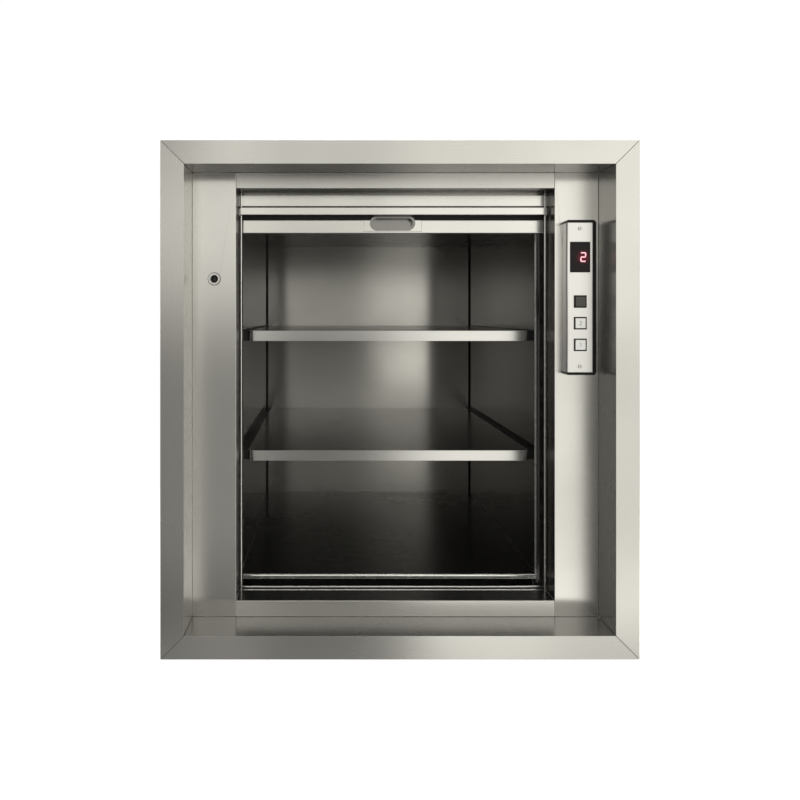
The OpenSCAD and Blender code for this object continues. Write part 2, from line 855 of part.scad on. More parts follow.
// A plate from the top tie that carries the pulley on a headed pin
module pulley_brackets() color(galvanised) at_landing() both_sides() {
    plate = door_rope_depth + door_pulley_t / 2 + pulley_side_gap;
    head = door_rope_depth - door_pulley_t / 2 - pulley_side_gap - pin_head_t;
    z = [pulley_z - pulley_plate_h / 2, pulley_z + pulley_plate_h / 2];
    foot_x = tie_x - seat;
    block([pulley_x - pulley_plate_h / 2, foot_x], [plate, plate + pulley_plate_t], z);
    block([foot_x - pulley_plate_t, foot_x], [plate, plate + pulley_foot], z);
    rod_y([pulley_x, head, pulley_z], pulley_pin_r, plate - head + bite);
    rod_y([pulley_x, head, pulley_z], pulley_pin_r + pin_head_over, pin_head_t);
}

module door_strand(x, from_z) {
    both_sides() translate([x, door_rope_depth, from_z]) cylinder(r = door_rope_d / 2, h = pulley_z - from_z);
}

module upper_door_ropes() color(rope_grey) at_landing() door_strand(upper_rope_x, upper_leaf_top - lug_down);
module lower_door_ropes() color(rope_grey) at_landing() door_strand(lower_rope_x, lower_leaf_rest - lug_down);

// The half turns of rope that lie on the pulleys and on the sheave
module rope_wraps() color(rope_grey) {
    at_landing() both_sides() translate([pulley_x, door_rope_depth, pulley_z]) rotate([90, 0, 0])
        rotate_extrude(angle = 180) translate([door_pulley_d / 2, 0]) circle(r = door_rope_d / 2);
    in_shaft() for (x = rope_sides) translate([x, sheave_mid, sheave_z]) rotate([90, 0, 90])
        rotate_extrude(angle = 180) translate([sheave_pitch_r, 0]) circle(r = rope_d / 2);
}

// An open-backed pan with a stiffening flange round its back and a rail inside one edge
module leaf_pan(bottom, high) {
    top = bottom + high;
    inner_x = leaf_x - leaf_sheet;
    difference() {
        block([-leaf_x, leaf_x], [leaf_front, leaf_back], [bottom, top]);
        block([-inner_x, inner_x], [leaf_front + leaf_sheet, leaf_back - leaf_sheet],
              [bottom + leaf_sheet, top - leaf_sheet]);
        block([-leaf_x + leaf_flange, leaf_x - leaf_flange],
              [leaf_back - leaf_sheet - bite, leaf_back + bite],
              [bottom + leaf_flange, top - leaf_flange]);
    }
}

// Lugs behind a leaf's upper corners, which reach out to the door ropes
module rope_lugs(top, reach) {
    z = [top - lug_down - lug_h, top - lug_down];
    arm = door_rope_depth - door_rope_d / 2 - lug_t;
    both_sides() {
        block([lug_in, lug_in + lug_riser], [leaf_back - leaf_sheet / 2, arm + bite], z);
        block([lug_in, reach + lug_over], [arm, door_rope_depth + lug_back], z);
    }
}

module pull_outline(len, high, depth, z, thick) {
    r = high / 2;
    block([-len / 2 + r, len / 2 - r], [depth, depth + thick], [z - r, z + r]);
    for (x = [-len / 2 + r, len / 2 - r]) rod_y([x, depth, z], r, thick);
}

module upper_door_leaf() color(steel) at_landing() {
    difference() {
        union() {
            leaf_pan(upper_leaf_rest, upper_leaf_h);
            block([-guide_in + grip_in, guide_in - grip_in],
                  [leaf_front - grip_proud, leaf_front + leaf_sheet],
                  [upper_leaf_rest, upper_leaf_rest + grip_h]);
            rope_lugs(upper_leaf_top, upper_rope_x);
        }
        pull_window(0, bite);
    }
}

// The rectangle of the upper leaf's front that the pull's plate fills
module pull_window(play, through) {
    x = pull_len / 2 + pull_plate_side - play;
    block([-x, x], [leaf_front - grip_proud - through, leaf_front + leaf_sheet + through],
          [upper_leaf_rest + 2 * leaf_sheet + play, upper_leaf_rest + grip_h + pull_plate_over - play]);
}

// The plate that carries the pull, with the grip rail's step across it
module pull_plate() color(steel) at_landing() difference() {
    intersection() {
        pull_window(pull_plate_gap, 0);
        union() {
            block([-leaf_x, leaf_x], [leaf_front, leaf_front + leaf_sheet],
                  [upper_leaf_rest, upper_leaf_rest + upper_leaf_h]);
            block([-guide_in + grip_in, guide_in - grip_in],
                  [leaf_front - grip_proud, leaf_front + leaf_sheet],
                  [upper_leaf_rest, upper_leaf_rest + grip_h]);
        }
    }
    pull_outline(pull_len - 2 * pull_rim + 2 * seat, pull_h - 2 * pull_rim + 2 * seat,
                 leaf_front - grip_proud - bite, upper_leaf_rest + pull_up,
                 grip_proud + leaf_sheet + 2 * bite);
}

module flush_pull() color(dull_steel) at_landing() {
    z = upper_leaf_rest + pull_up;
    face = leaf_front - grip_proud - seat - pull_rim_t;
    deep = leaf_front + pull_deep - face;
    cup = pull_h - 2 * pull_rim;
    difference() {
        union() {
            pull_outline(pull_len, pull_h, face, z, pull_rim_t);
            pull_outline(pull_len - 2 * pull_rim, cup, face, z, deep);
        }
        pull_outline(pull_len - 2 * pull_rim - 2 * pull_wall, cup - 2 * pull_wall, face - bite, z,
                     deep - pull_wall + bite);
    }
}

module lower_door_leaf() color(dull_steel) at_landing() {
    top = lower_leaf_rest;
    difference() {
        union() {
            leaf_pan(lower_leaf_bottom, lower_leaf_h);
            block([-leaf_x + leaf_sheet / 2, leaf_x - leaf_sheet / 2],
                  [leaf_front + leaf_sheet / 2, leaf_back - leaf_sheet / 2],
                  [top - groove_deep - 2 * leaf_sheet, top - leaf_sheet / 2]);
            rope_lugs(top, lower_rope_x);
        }
        block([-leaf_x + 2 * leaf_sheet, leaf_x - 2 * leaf_sheet],
              [leaf_front + groove_side, leaf_back - groove_side], [top - groove_deep, top + bite]);
    }
}

// Nylon blocks at the four corners of a leaf
module door_shoes(bottom, top) {
    both_sides() for (z = [bottom + shoe_in, top - shoe_in - shoe_h])
        block([leaf_x, shoe_x], [leaf_front + seat, leaf_back - seat], [z, z + shoe_h]);
}

module upper_door_shoes() color(nylon) at_landing() door_shoes(upper_leaf_rest, upper_leaf_top);
module lower_door_shoes() color(nylon) at_landing() door_shoes(lower_leaf_bottom, lower_leaf_rest);

// ---- Door release ----

module release_ring() color(steel) at_landing() difference() {
    union() {
        rod_y([release_x, ring_front, release_z], release_ring_r, release_ring_t);
        rod_y([release_x, ring_front, release_z], release_tube_r, release_deep);
    }
    rod_y([release_x, ring_front - bite, release_z], release_bore_r, release_deep + 2 * bite);
}

module release_spindle() color(dull_steel) at_landing() {
    collar = ring_front + release_deep - collar_t - 2 * bite;
    rod_y([release_x, collar, release_z], release_bore_r - run_fit, collar_t);
    rod_y([release_x, collar, release_z], spindle_r, lock_front + lock_deep - collar);
    translate([release_x, collar + bite - key_len, release_z]) rotate([-90, -90, 0])
        cylinder(r = release_key_r, h = key_len, $fn = 3);
}

module door_lock() color(black) at_landing() {
    tube_end = ring_front + release_deep;
    x = [release_x - lock_w / 2, release_x + lock_w / 2];
    difference() {
        block(x, [lock_front, lock_front + lock_deep], [release_z - lock_h / 2, release_z + lock_h / 2]);
        rod_y([release_x, lock_front - bite, release_z], release_tube_r + seat,
              tube_end - lock_front + seat + bite);
        rod_y([release_x, lock_front, release_z], spindle_r + run_fit, lock_deep + bite);
    }
}

// ---- Control box ----

module cover_blank(inset, depth) {
    half = box_w / 2 - inset;
    r = box_edge_r - inset / 2;
    front = box_front + inset;
    z = [box_z - cover_h / 2, box_z + cover_h / 2];
    block([box_x - half, box_x + half], [front + r, depth], z);
    block([box_x - half + r, box_x + half - r], [front, depth], z);
    for (x = [box_x - half + r, box_x + half - r])
        translate([x, front + r, z[0]]) cylinder(r = r, h = z[1] - z[0]);
}

module control_cover() color(steel) at_landing() difference() {
    cover_blank(0, reveal_depth - seat);
    translate([0, 0, -bite]) cover_blank(box_wall, reveal_depth + bite);
    translate([0, 0, bite]) cover_blank(box_wall, reveal_depth + bite);
    block([box_x - window_w / 2, box_x + window_w / 2], [box_front - bite, box_front + 3 * box_wall],
          [window_z - window_h / 2, window_z + window_h / 2]);
    hole = bezel_body / 2 + seat;
    for (z = button_levels)
        block([button_x - hole, button_x + hole], [box_front - bite, box_front + 3 * box_wall],
              [z - hole, z + hole]);
    for (side = [-1, 1])
        rod_y([box_x, box_front - bite, box_z + side * screw_up], screw_r + seat, 3 * box_wall);
}

// Black edging along the top, the right side and the bottom of the cover
module control_edging() color(black) at_landing() {
    left = box_x - box_w / 2;
    right = box_x + box_w / 2;
    cut = edging_w - edging_lap;
    translate([0, reveal_depth - seat, 0]) rotate([90, 0, 0]) linear_extrude(height = box_proud - edging_lap)
        difference() {
            polygon([
                [left - edging_lap, box_z - box_h / 2 + cut], [left - edging_lap + cut, box_z - box_h / 2],
                [right + edging_w - cut, box_z - box_h / 2], [right + edging_w, box_z - box_h / 2 + cut],
                [right + edging_w, box_z + box_h / 2 - cut], [right + edging_w - cut, box_z + box_h / 2],
                [left - edging_lap + cut, box_z + box_h / 2], [left - edging_lap, box_z + box_h / 2 - cut]
            ]);
            translate([left - edging_lap - bite, box_z - cover_h / 2 - seat])
                square([box_w + edging_lap + bite + seat, cover_h + 2 * seat]);
        }
}

module display_window() color(black) at_landing() {
    half = window_w / 2 - seat;
    block([box_x - half, box_x + half], [box_front - seat, box_front + window_t],
          [window_z - window_h / 2 + seat, window_z + window_h / 2 - seat]);
}

// The lit strokes of a seven-stroke figure that shows a two
module display_digit() color(red) at_landing() {
    x = box_x + digit_right;
    depth = [box_front - seat - digit_proud, box_front - seat];
    w = digit_w / 2;
    h = digit_h / 2;
    s = digit_stroke / 2;
    z = window_z;
    clear = s + seat;
    for (level = [-h + s, 0, h - s])
        block([x - w + clear, x + w - clear], depth, [z + level - s, z + level + s]);
    block([x + w - 2 * s, x + w], depth, [z + clear, z + h - clear]);
    block([x - w, x - w + 2 * s], depth, [z - h + clear, z - clear]);
}

module button_bezels() color(black) at_landing() for (z = button_levels) difference() {
    lip = bezel_w / 2;
    body = bezel_body / 2;
    union() {
        block([button_x - lip, button_x + lip], [bezel_front, bezel_front + bezel_lip], [z - lip, z + lip]);
        block([button_x - body, button_x + body], [bezel_front, box_front + bezel_deep],
              [z - body, z + body]);
    }
    bore = button_w / 2 + button_play;
    block([button_x - bore, button_x + bore], [bezel_front - bite, box_front + bezel_deep + bite],
          [z - bore, z + bore]);
}

module push_button(z) {
    half = button_w / 2;
    face = bezel_front - button_proud;
    block([button_x - half, button_x + half], [face, face + button_deep], [z - half, z + half]);
}

module call_button() color([0.35, 0.35, 0.34]) at_landing() push_button(button_levels[0]);
module floor_two_button() color(white) at_landing() push_button(button_levels[1]);
module floor_one_button() color(white) at_landing() push_button(button_levels[2]);

module panel_screws() color(steel) at_landing() for (side = [-1, 1]) {
    z = box_z + side * screw_up;
    head = box_front - seat - screw_head_t;
    difference() {
        rod_y([box_x, head, z], screw_head_r, screw_head_t);
        block([box_x - screw_slot / 2, box_x + screw_slot / 2], [head - bite, head + screw_slot],
              [z - 2 * screw_head_r, z + 2 * screw_head_r]);
    }
    rod_y([box_x, head + screw_slot, z], screw_r, box_proud + screw_len);
}

// ---- Car ----

module car_floor() color(dull_steel) in_car() {
    x = car_half - seat;
    difference() {
        block([-x, x], [0, car_d - seat], [-pan_h, 0]);
        block([-x + car_sheet, x - car_sheet], [car_sheet, car_d - seat - car_sheet],
              [-pan_h - bite, -car_sheet]);
        block([-x - bite, x + bite], [-bite, car_sheet + bite], [-pan_h - bite, -floor_lip]);
    }
    block([-x, x], [apron_set, apron_set + car_sheet], [-apron_h, -car_sheet / 2]);
}

module car_ceiling() color(dull_steel) in_car() {
    x = car_half - seat;
    difference() {
        block([-x, x], [0, car_d - seat], [car_h, car_h + pan_h]);
        block([-x + car_sheet, x - car_sheet], [car_sheet, car_d - seat - car_sheet],
              [car_h + car_sheet, car_h + pan_h + bite]);
    }
}

// A side wall on the right, with a hem and a flange along its front
module car_side() {
    z = [-pan_h, car_h + pan_h];
    block([car_half, car_half + car_sheet], [0, car_d + car_sheet], z);
    block([car_half, car_half + side_hem], [0, side_hem_w], z);
    block([car_half, car_half + side_return], [side_hem_w - car_sheet, side_hem_w], z);
}

module car_side_right() color(dull_steel) in_car() car_side();
module car_side_left() color(dull_steel) in_car() mirror([1, 0, 0]) car_side();

module car_back() color(dull_steel) in_car()
    block([-car_half + seat, car_half - seat], [car_d, car_d + car_sheet], [-pan_h, car_h + pan_h]);

// A tray turned down at its edges, with rounded front corners
module shelf_blank(half, front, back, r, z) {
    block([-half, half], [front + r, back], z);
    block([-half + r, half - r], [front, back], z);
    for (x = [-half + r, half - r]) translate([x, front + r, z[0]]) cylinder(r = r, h = z[1] - z[0]);
}

module shelf(top) {
    half = car_half - shelf_side_gap;
    back = car_d - seat;
    difference() {
        shelf_blank(half, shelf_set, back, shelf_corner, [top - shelf_edge, top]);
        shelf_blank(half - car_sheet, shelf_set + car_sheet, back - car_sheet, shelf_corner - car_sheet,
                    [top - shelf_edge - bite, top - car_sheet]);
    }
}

module upper_shelf() color(steel) in_car() shelf(upper_shelf_z);
module lower_shelf() color(steel) in_car() shelf(lower_shelf_z);

// Channels that carry the shelves along the side walls
module shelf_supports() color(black) in_car() both_sides() for (top = [upper_shelf_z, lower_shelf_z]) {
    x = [car_half - shelf_side_gap + seat, car_half - seat];
    y = [support_set, car_d - seat];
    difference() {
        block(x, y, [top - shelf_edge, top - seat]);
        block([x[0] + 2 * car_sheet, x[1] + bite], [y[0] + car_sheet, y[1] + bite],
              [top - shelf_edge + car_sheet, top - seat - car_sheet]);
    }
}

// Two rope sockets that stand on a beam
module rope_sockets() {
    for (x = rope_sides) {
        translate([x, 0, -bite]) cylinder(r = socket_rod_r, h = socket_len - socket_cup + bite);
        translate([x, 0, socket_len - socket_cup]) cylinder(r = socket_r, h = socket_cup);
    }
}

module car_sling() color(galvanised) in_car() {
    mid = car_d / 2;
    y = [mid - sling_w / 2, mid + sling_w / 2];
    z = [plank_bottom, crosshead_top];
    both_sides() difference() {
        block([sling_web, sling_out], y, z);
        block([sling_web + sling_wall, sling_out + bite], [y[0] + sling_wall, y[1] - sling_wall],
              [z[0] - bite, z[1] + bite]);
    }
    x = [-sling_web + seat, sling_web - seat];
    channel_x(x, y, [plank_bottom, plank_bottom + sling_w], sling_wall);
    channel_x(x, y, [crosshead_z, crosshead_top], sling_wall);
    translate([0, mid, crosshead_top]) rope_sockets();
}

module car_guide_shoes() color(nylon) in_shaft() both_sides()
    for (z = [plank_bottom + sling_w / 2, crosshead_z + sling_w / 2])
        slide_shoe(sling_web + sling_wall + seat, rail_tip, car_mid, slide_half, sill_height + z);

module car_ropes() color(rope_grey) in_shaft() for (x = rope_sides)
    translate([x, car_mid, sill_height + hitch_top])
        cylinder(r = rope_d / 2, h = sheave_z - sill_height - hitch_top);

// ---- Counterweight ----

module counterweight_frame() color(frame_grey) in_shaft() {
    y = [weight_mid - weight_t / 2, weight_mid + weight_t / 2];
    difference() {
        block([-weight_side - weight_wall, weight_side + weight_wall], y, [weight_bottom, weight_top]);
        block([-weight_side, weight_side], [y[0] - bite, y[1] + bite],
              [weight_bottom + weight_beam_h, weight_top - weight_beam_h]);
        for (z = [weight_bottom, weight_top - weight_beam_h])
            block([-weight_side - weight_wall - bite, weight_side + weight_wall + bite],
                  [y[0] + weight_wall, y[1] + bite], [z + weight_wall, z + weight_beam_h - weight_wall]);
    }
    both_sides() for (z = [weight_bottom + weight_beam_h, weight_top - weight_beam_h])
        slide_shoe(weight_shoe_in - bite, weight_rail_tip, weight_mid, weight_slide_half, z);
    translate([0, weight_mid, weight_top]) rope_sockets();
}

module counterweight_plates() color(black) in_shaft() for (i = [0:weight_count - 1]) {
    z = weight_bottom + weight_beam_h + seat + i * (weight_plate_h + weight_slit);
    block([-weight_w / 2, weight_w / 2], [weight_mid - weight_t / 2, weight_mid + weight_t / 2],
          [z, z + weight_plate_h]);
}

module counterweight_ropes() color(rope_grey) in_shaft() for (x = rope_sides)
    translate([x, weight_mid, weight_top + socket_len])
        cylinder(r = rope_d / 2, h = sheave_z - weight_top - socket_len);

// ---- Machine ----

module sheave() color(dull_steel) in_shaft() {
    groove_r = rope_d / 2 + groove_ease;
    rim_in = sheave_pitch_r - rim_deep;
    rim_out = sheave_pitch_r + rim_over;
    hub_r = shaft_r + hub_wall;
    shaft_start = bearing_x - bed_beam_w / 2;
    translate([0, sheave_mid, sheave_z]) rotate([0, 90, 0]) difference() {
        union() {
            rotate_extrude() {
                difference() {
                    translate([rim_in, -sheave_w / 2]) square([rim_out - rim_in, sheave_w]);
                    for (x = rope_sides) {
                        translate([sheave_pitch_r, x]) circle(r = groove_r);
                        translate([sheave_pitch_r, x - groove_r]) square([rim_deep, 2 * groove_r]);
                    }
                }
                translate([hub_r - bite, -disc_t / 2]) square([rim_in - hub_r + 2 * bite, disc_t]);
                translate([0, -sheave_w / 2]) square([hub_r, sheave_w]);
            }
            translate([0, 0, shaft_start]) cylinder(r = shaft_r, h = gear_x + shaft_grip - shaft_start);
        }
        for (turn = [0:60:300]) rotate([0, 0, turn])
            translate([(hub_r + rim_in) / 2, 0, -sheave_w]) cylinder(r = disc_hole_r, h = 2 * sheave_w);
    }
}

// A worm gear case on its base, with the worm's tube above the output shaft
module gearbox() color(machine_green) in_shaft() difference() {
    union() {
        rod_x([gear_x, sheave_mid, sheave_z], gear_case_r, gear_w);
        rod_y([gear_mid_x, sheave_mid - gear_case_r, sheave_z + worm_up], worm_r, 2 * gear_case_r);
        rod_y([gear_mid_x, sheave_mid - gear_case_r, sheave_z + worm_up], motor_core_r, gear_flange_t);
        block([gear_x, gear_x + gear_w], [sheave_mid - gear_base_d / 2, sheave_mid + gear_base_d / 2],
              [bed_top + seat, sheave_z]);
        block([gear_x, outer_beam_x + bed_beam_w],
              [sheave_mid - gear_foot_d / 2, sheave_mid + gear_foot_d / 2],
              [bed_top + seat, bed_top + seat + gear_foot_t]);
    }
    rod_x([gear_x - bite, sheave_mid, sheave_z], shaft_r + run_fit, shaft_grip + bite + seat);
}

// A finned motor with its brake under the end cowl and a terminal box on top
module motor() color([0.28, 0.33, 0.36]) in_shaft()
    translate([gear_mid_x, sheave_mid - gear_case_r - seat, sheave_z + worm_up]) rotate([90, 0, 0]) {
        finned = motor_len - brake_len;
        cylinder(r = motor_core_r, h = motor_len);
        for (turn = [0:fin_turn:359]) rotate([0, 0, turn])
            translate([0, -fin_t / 2, gear_foot_t]) cube([motor_r, fin_t, finned - 2 * gear_foot_t]);
        translate([0, 0, finned]) cylinder(r = motor_r, h = brake_len - fin_depth);
        translate([-terminal_w / 2, motor_core_r - fin_depth, finned / 5])
            cube([terminal_w, terminal_h + fin_depth, terminal_len]);
    }

base_frame();
corner_posts();
cross_rails();
machine_bed();
car_guide_rails();
counterweight_rails();
rail_brackets();
pit_buffers();
casing_left();
casing_right();
casing_top();
casing_bottom();
jamb_left();
jamb_right();
header();
sill();
head_rails();
door_guide_left();
door_guide_right();
door_pulley_left();
door_pulley_right();
pulley_brackets();
upper_door_ropes();
lower_door_ropes();
rope_wraps();
upper_door_leaf();
pull_plate();
flush_pull();
upper_door_shoes();
lower_door_leaf();
lower_door_shoes();
release_ring();
release_spindle();
door_lock();
control_cover();
control_edging();
display_window();
display_digit();
button_bezels();
call_button();
floor_two_button();
floor_one_button();
panel_screws();
car_floor();
car_ceiling();
car_side_left();
car_side_right();
car_back();
upper_shelf();
lower_shelf();
shelf_supports();
car_sling();
car_guide_shoes();
car_ropes();
counterweight_ropes();
counterweight_frame();
counterweight_plates();
gearbox();
motor();
sheave();
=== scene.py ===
import math

import bmesh
import bpy
from mathutils import Matrix, Vector


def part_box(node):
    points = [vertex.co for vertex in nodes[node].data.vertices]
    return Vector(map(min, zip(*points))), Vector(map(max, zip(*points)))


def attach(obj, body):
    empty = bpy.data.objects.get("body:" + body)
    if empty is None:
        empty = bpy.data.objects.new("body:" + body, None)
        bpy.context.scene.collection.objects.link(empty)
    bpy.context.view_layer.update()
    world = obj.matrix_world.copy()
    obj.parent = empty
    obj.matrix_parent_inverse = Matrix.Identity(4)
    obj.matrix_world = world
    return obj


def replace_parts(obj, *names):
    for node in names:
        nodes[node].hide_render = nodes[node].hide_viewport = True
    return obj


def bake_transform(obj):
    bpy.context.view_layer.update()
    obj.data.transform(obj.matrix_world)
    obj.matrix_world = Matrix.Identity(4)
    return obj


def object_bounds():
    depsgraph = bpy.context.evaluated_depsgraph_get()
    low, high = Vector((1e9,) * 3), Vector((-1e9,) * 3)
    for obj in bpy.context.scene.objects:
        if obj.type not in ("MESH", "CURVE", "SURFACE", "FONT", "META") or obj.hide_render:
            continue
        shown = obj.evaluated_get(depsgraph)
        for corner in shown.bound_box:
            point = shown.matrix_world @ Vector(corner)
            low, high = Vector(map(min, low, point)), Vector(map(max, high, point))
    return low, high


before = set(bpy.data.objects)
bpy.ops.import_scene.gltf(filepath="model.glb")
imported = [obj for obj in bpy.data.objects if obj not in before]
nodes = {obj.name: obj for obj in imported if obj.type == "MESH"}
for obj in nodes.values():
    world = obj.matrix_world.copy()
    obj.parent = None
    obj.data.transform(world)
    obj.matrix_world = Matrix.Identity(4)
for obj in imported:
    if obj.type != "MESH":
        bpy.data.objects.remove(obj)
cad_low, cad_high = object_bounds()

mm = 0.001
wall_y = cad_low.y
up, right, back = Vector((0, 0, 1)), Vector((1, 0, 0)), Vector((0, 1, 0))
sides = (-1, 1)


def size_of(node):
    low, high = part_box(node)
    return low, high, (low + high) / 2


def at(x, depth, z):
    """A point given in millimetres: across, behind the casing's face, and above the floor."""
    return Vector((x * mm, wall_y + depth * mm, z * mm))


# ---------------- meshes


def mesh_object(name, bm, material, smooth_angle=None):
    """A new object from a bmesh, with its faces smoothed up to an angle in degrees."""
    bmesh.ops.recalc_face_normals(bm, faces=bm.faces[:])
    if smooth_angle is not None:
        limit = math.radians(smooth_angle)
        for face in bm.faces:
            face.smooth = True
        for edge in bm.edges:
            edge.smooth = len(edge.link_faces) == 2 and edge.calc_face_angle(0) < limit
    mesh = bpy.data.meshes.new(name)
    bm.to_mesh(mesh)
    bm.free()
    obj = bpy.data.objects.new(name, mesh)
    bpy.context.scene.collection.objects.link(obj)
    mesh.materials.append(material)
    return obj


def around(count, offset=0.0):
    """Directions spread evenly over a full turn, as (cosine, sine)."""
    turns = [2 * math.pi * i / count + offset for i in range(count)]
    return [(math.cos(turn), math.sin(turn)) for turn in turns]


def skin(bm, rings, closed=False):
    """Faces between successive rings of points, with both ends capped or joined to each other."""
    rings = [[bm.verts.new(point) for point in ring] for ring in rings]
    for a, b in zip(rings, rings[1:] + (rings[:1] if closed else [])):
        for i in range(len(a)):
            j = (i + 1) % len(a)
            bm.faces.new((a[i], a[j], b[j], b[i]))
    if not closed:
        bm.faces.new(list(reversed(rings[0])))
        bm.faces.new(rings[-1])


def add_lathe(bm, centre, axis, profile, count, spin=0.0):
    """A turned form: profile is (distance along the axis, radius) in millimetres."""
    place = Matrix.Translation(Vector(centre)) @ Vector(axis).to_track_quat("Z", "Y").to_matrix().to_4x4()
    skin(bm, [[place @ Vector((r * mm * x, r * mm * y, h * mm)) for x, y in around(count, spin)]
              for h, r in profile])


def add_nut(bm, centre, axis, radius, height, chamfer, spin=0.0):
    """A hexagon that starts at centre and runs along axis, with a chamfer round its far end."""
    add_lathe(bm, centre, axis, [(0, radius), (height - chamfer, radius), (height, radius - chamfer)], 6, spin)


def add_bolt(bm, seat, axis, size, stub=0.0):
    """A washer and a hexagon head, or a nut with its stub of thread, on a face; millimetres."""
    axis = Vector(axis).normalized()
    washer = 0.18 * size
    head = (0.8 if stub else 0.64) * size
    add_lathe(bm, seat, axis, [(0, size), (0.75 * washer, size), (washer, 0.93 * size)], 20)
    add_nut(bm, seat + axis * washer * mm, axis, 0.92 * size, head, 0.08 * size, 0.4)
    if stub:
        add_lathe(bm, seat + axis * (washer + head) * mm, axis,
                  [(0, 0.5 * size), (stub - 0.1 * size, 0.5 * size), (stub, 0.4 * size)], 14)


def add_button_head(bm, seat, axis, radius, height):
    """A domed rivet or button head; millimetres."""
    steps = 5
    profile = [(0, radius)]
    for i in range(1, steps):
        turn = math.pi / 2 * i / steps
        profile.append((height * math.sin(turn), radius * math.cos(turn) ** 0.7))
    add_lathe(bm, seat, axis, profile + [(height, 0.12 * radius)], 14)


def add_weld(bm, start, end, radius):
    """A rippled fillet of weld, half sunk in the corner that it fills, between two points that are
    given as at() takes them; millimetres."""
    start, end = at(*start), at(*end)
    run = end - start
    length = run.length / mm
    steps = max(6, int(length / (0.55 * radius)))
    profile = []
    for i in range(steps + 1):
        swell = 0.55 + 0.45 * min(1.0, 4 * min(i, steps - i) / steps)
        profile.append((length * i / steps, radius * swell * (1.0 if i % 2 else 0.86)))
    add_lathe(bm, start, run, profile, 8)


def add_box(bm, low, high, soften=0.0):
    """A box between two corners, with its edges rounded by the width soften in millimetres."""
    low, high = Vector(low), Vector(high)
    centre, span = (low + high) / 2, high - low
    verts = bmesh.ops.create_cube(bm, size=1)["verts"]
    for v in verts:
        v.co = centre + Vector((v.co.x * span.x, v.co.y * span.y, v.co.z * span.z))
    if soften:
        edges = list({edge for v in verts for edge in v.link_edges})
        bmesh.ops.bevel(bm, geom=edges, offset=soften * mm, segments=2, affect="EDGES")


def add_half_round(bm, start, end, across, out, half, high):
    """A half-round bead from start to end; across and out are the directions of its width, twice half,
    and of its rise, high, both in millimetres."""
    section = [across * half * mm * math.cos(t) + out * high * mm * math.sin(t)
               for t in (math.pi * i / 8 for i in range(9))]
    skin(bm, [[Vector(end_point) + offset for offset in section] for end_point in (start, end)])


def add_ribbon(bm, points, width, front, rear):
    """A flat stroke through points (x, z) with mitred joints, between two depths."""
    points = [Vector(p) for p in points]
    rings = []
    for i, p in enumerate(points):
        ahead = points[min(i + 1, len(points) - 1)] - p
        behind = p - points[max(i - 1, 0)]
        a = ahead.normalized() if ahead.length > 0 else behind.normalized()
        b = behind.normalized() if behind.length > 0 else a
        mid = (a + b).normalized()
        normal = Vector((-mid.y, mid.x))
        reach = normal * width / 2 / max(0.5, normal.dot(Vector((-a.y, a.x))))
        rings.append([(q.x, y, q.y) for q, y in ((p + reach, front), (p - reach, front),
                                                 (p - reach, rear), (p + reach, rear))])
    skin(bm, rings)


def lay_of(radius):
    """The length of rope in which a strand goes once round it: six and a half diameters."""
    return 6.5 * 2 * radius


def add_rope(bm, frames, radius):
    """Six strands laid round each other. Frames are (centre, side, other side, way along the rope)."""
    strand = radius / 3
    rings = []
    for centre, side, other, way in frames:
        ring = []
        for k in range(6):
            base = math.pi / 3 * k + 2 * math.pi * way / lay_of(radius)
            for spread in (-110, -55, 0, 55, 110):
                turn = base + math.radians(spread)
                u = 2 * strand * math.cos(base) + strand * math.cos(turn)
                v = 2 * strand * math.sin(base) + strand * math.sin(turn)
                ring.append(centre + side * u + other * v)
        rings.append(ring)
    skin(bm, rings)


def straight_frames(start, end, side, other, way, step, sign):
    """Frames along a straight run of rope; way is the rope's length before the start."""
    start, end = Vector(start), Vector(end)
    length = (end - start).length
    count = max(2, round(length / step))
    shares = [i / count for i in range(count + 1)]
    return [(start.lerp(end, share), side, other, way + sign * length * share) for share in shares]


def arc_frames(centre, radius, first, side, step):
    """Frames of a half turn over a wheel, from direction first over the top to the far side."""
    length = math.pi * radius
    count = max(8, round(length / step))
    frames = []
    for i in range(count + 1):
        turn = math.pi * i / count
        radial = first * math.cos(turn) + up * math.sin(turn)
        frames.append((centre + radial * radius, side, radial, length * i / count))
    return frames


# ---------------- materials


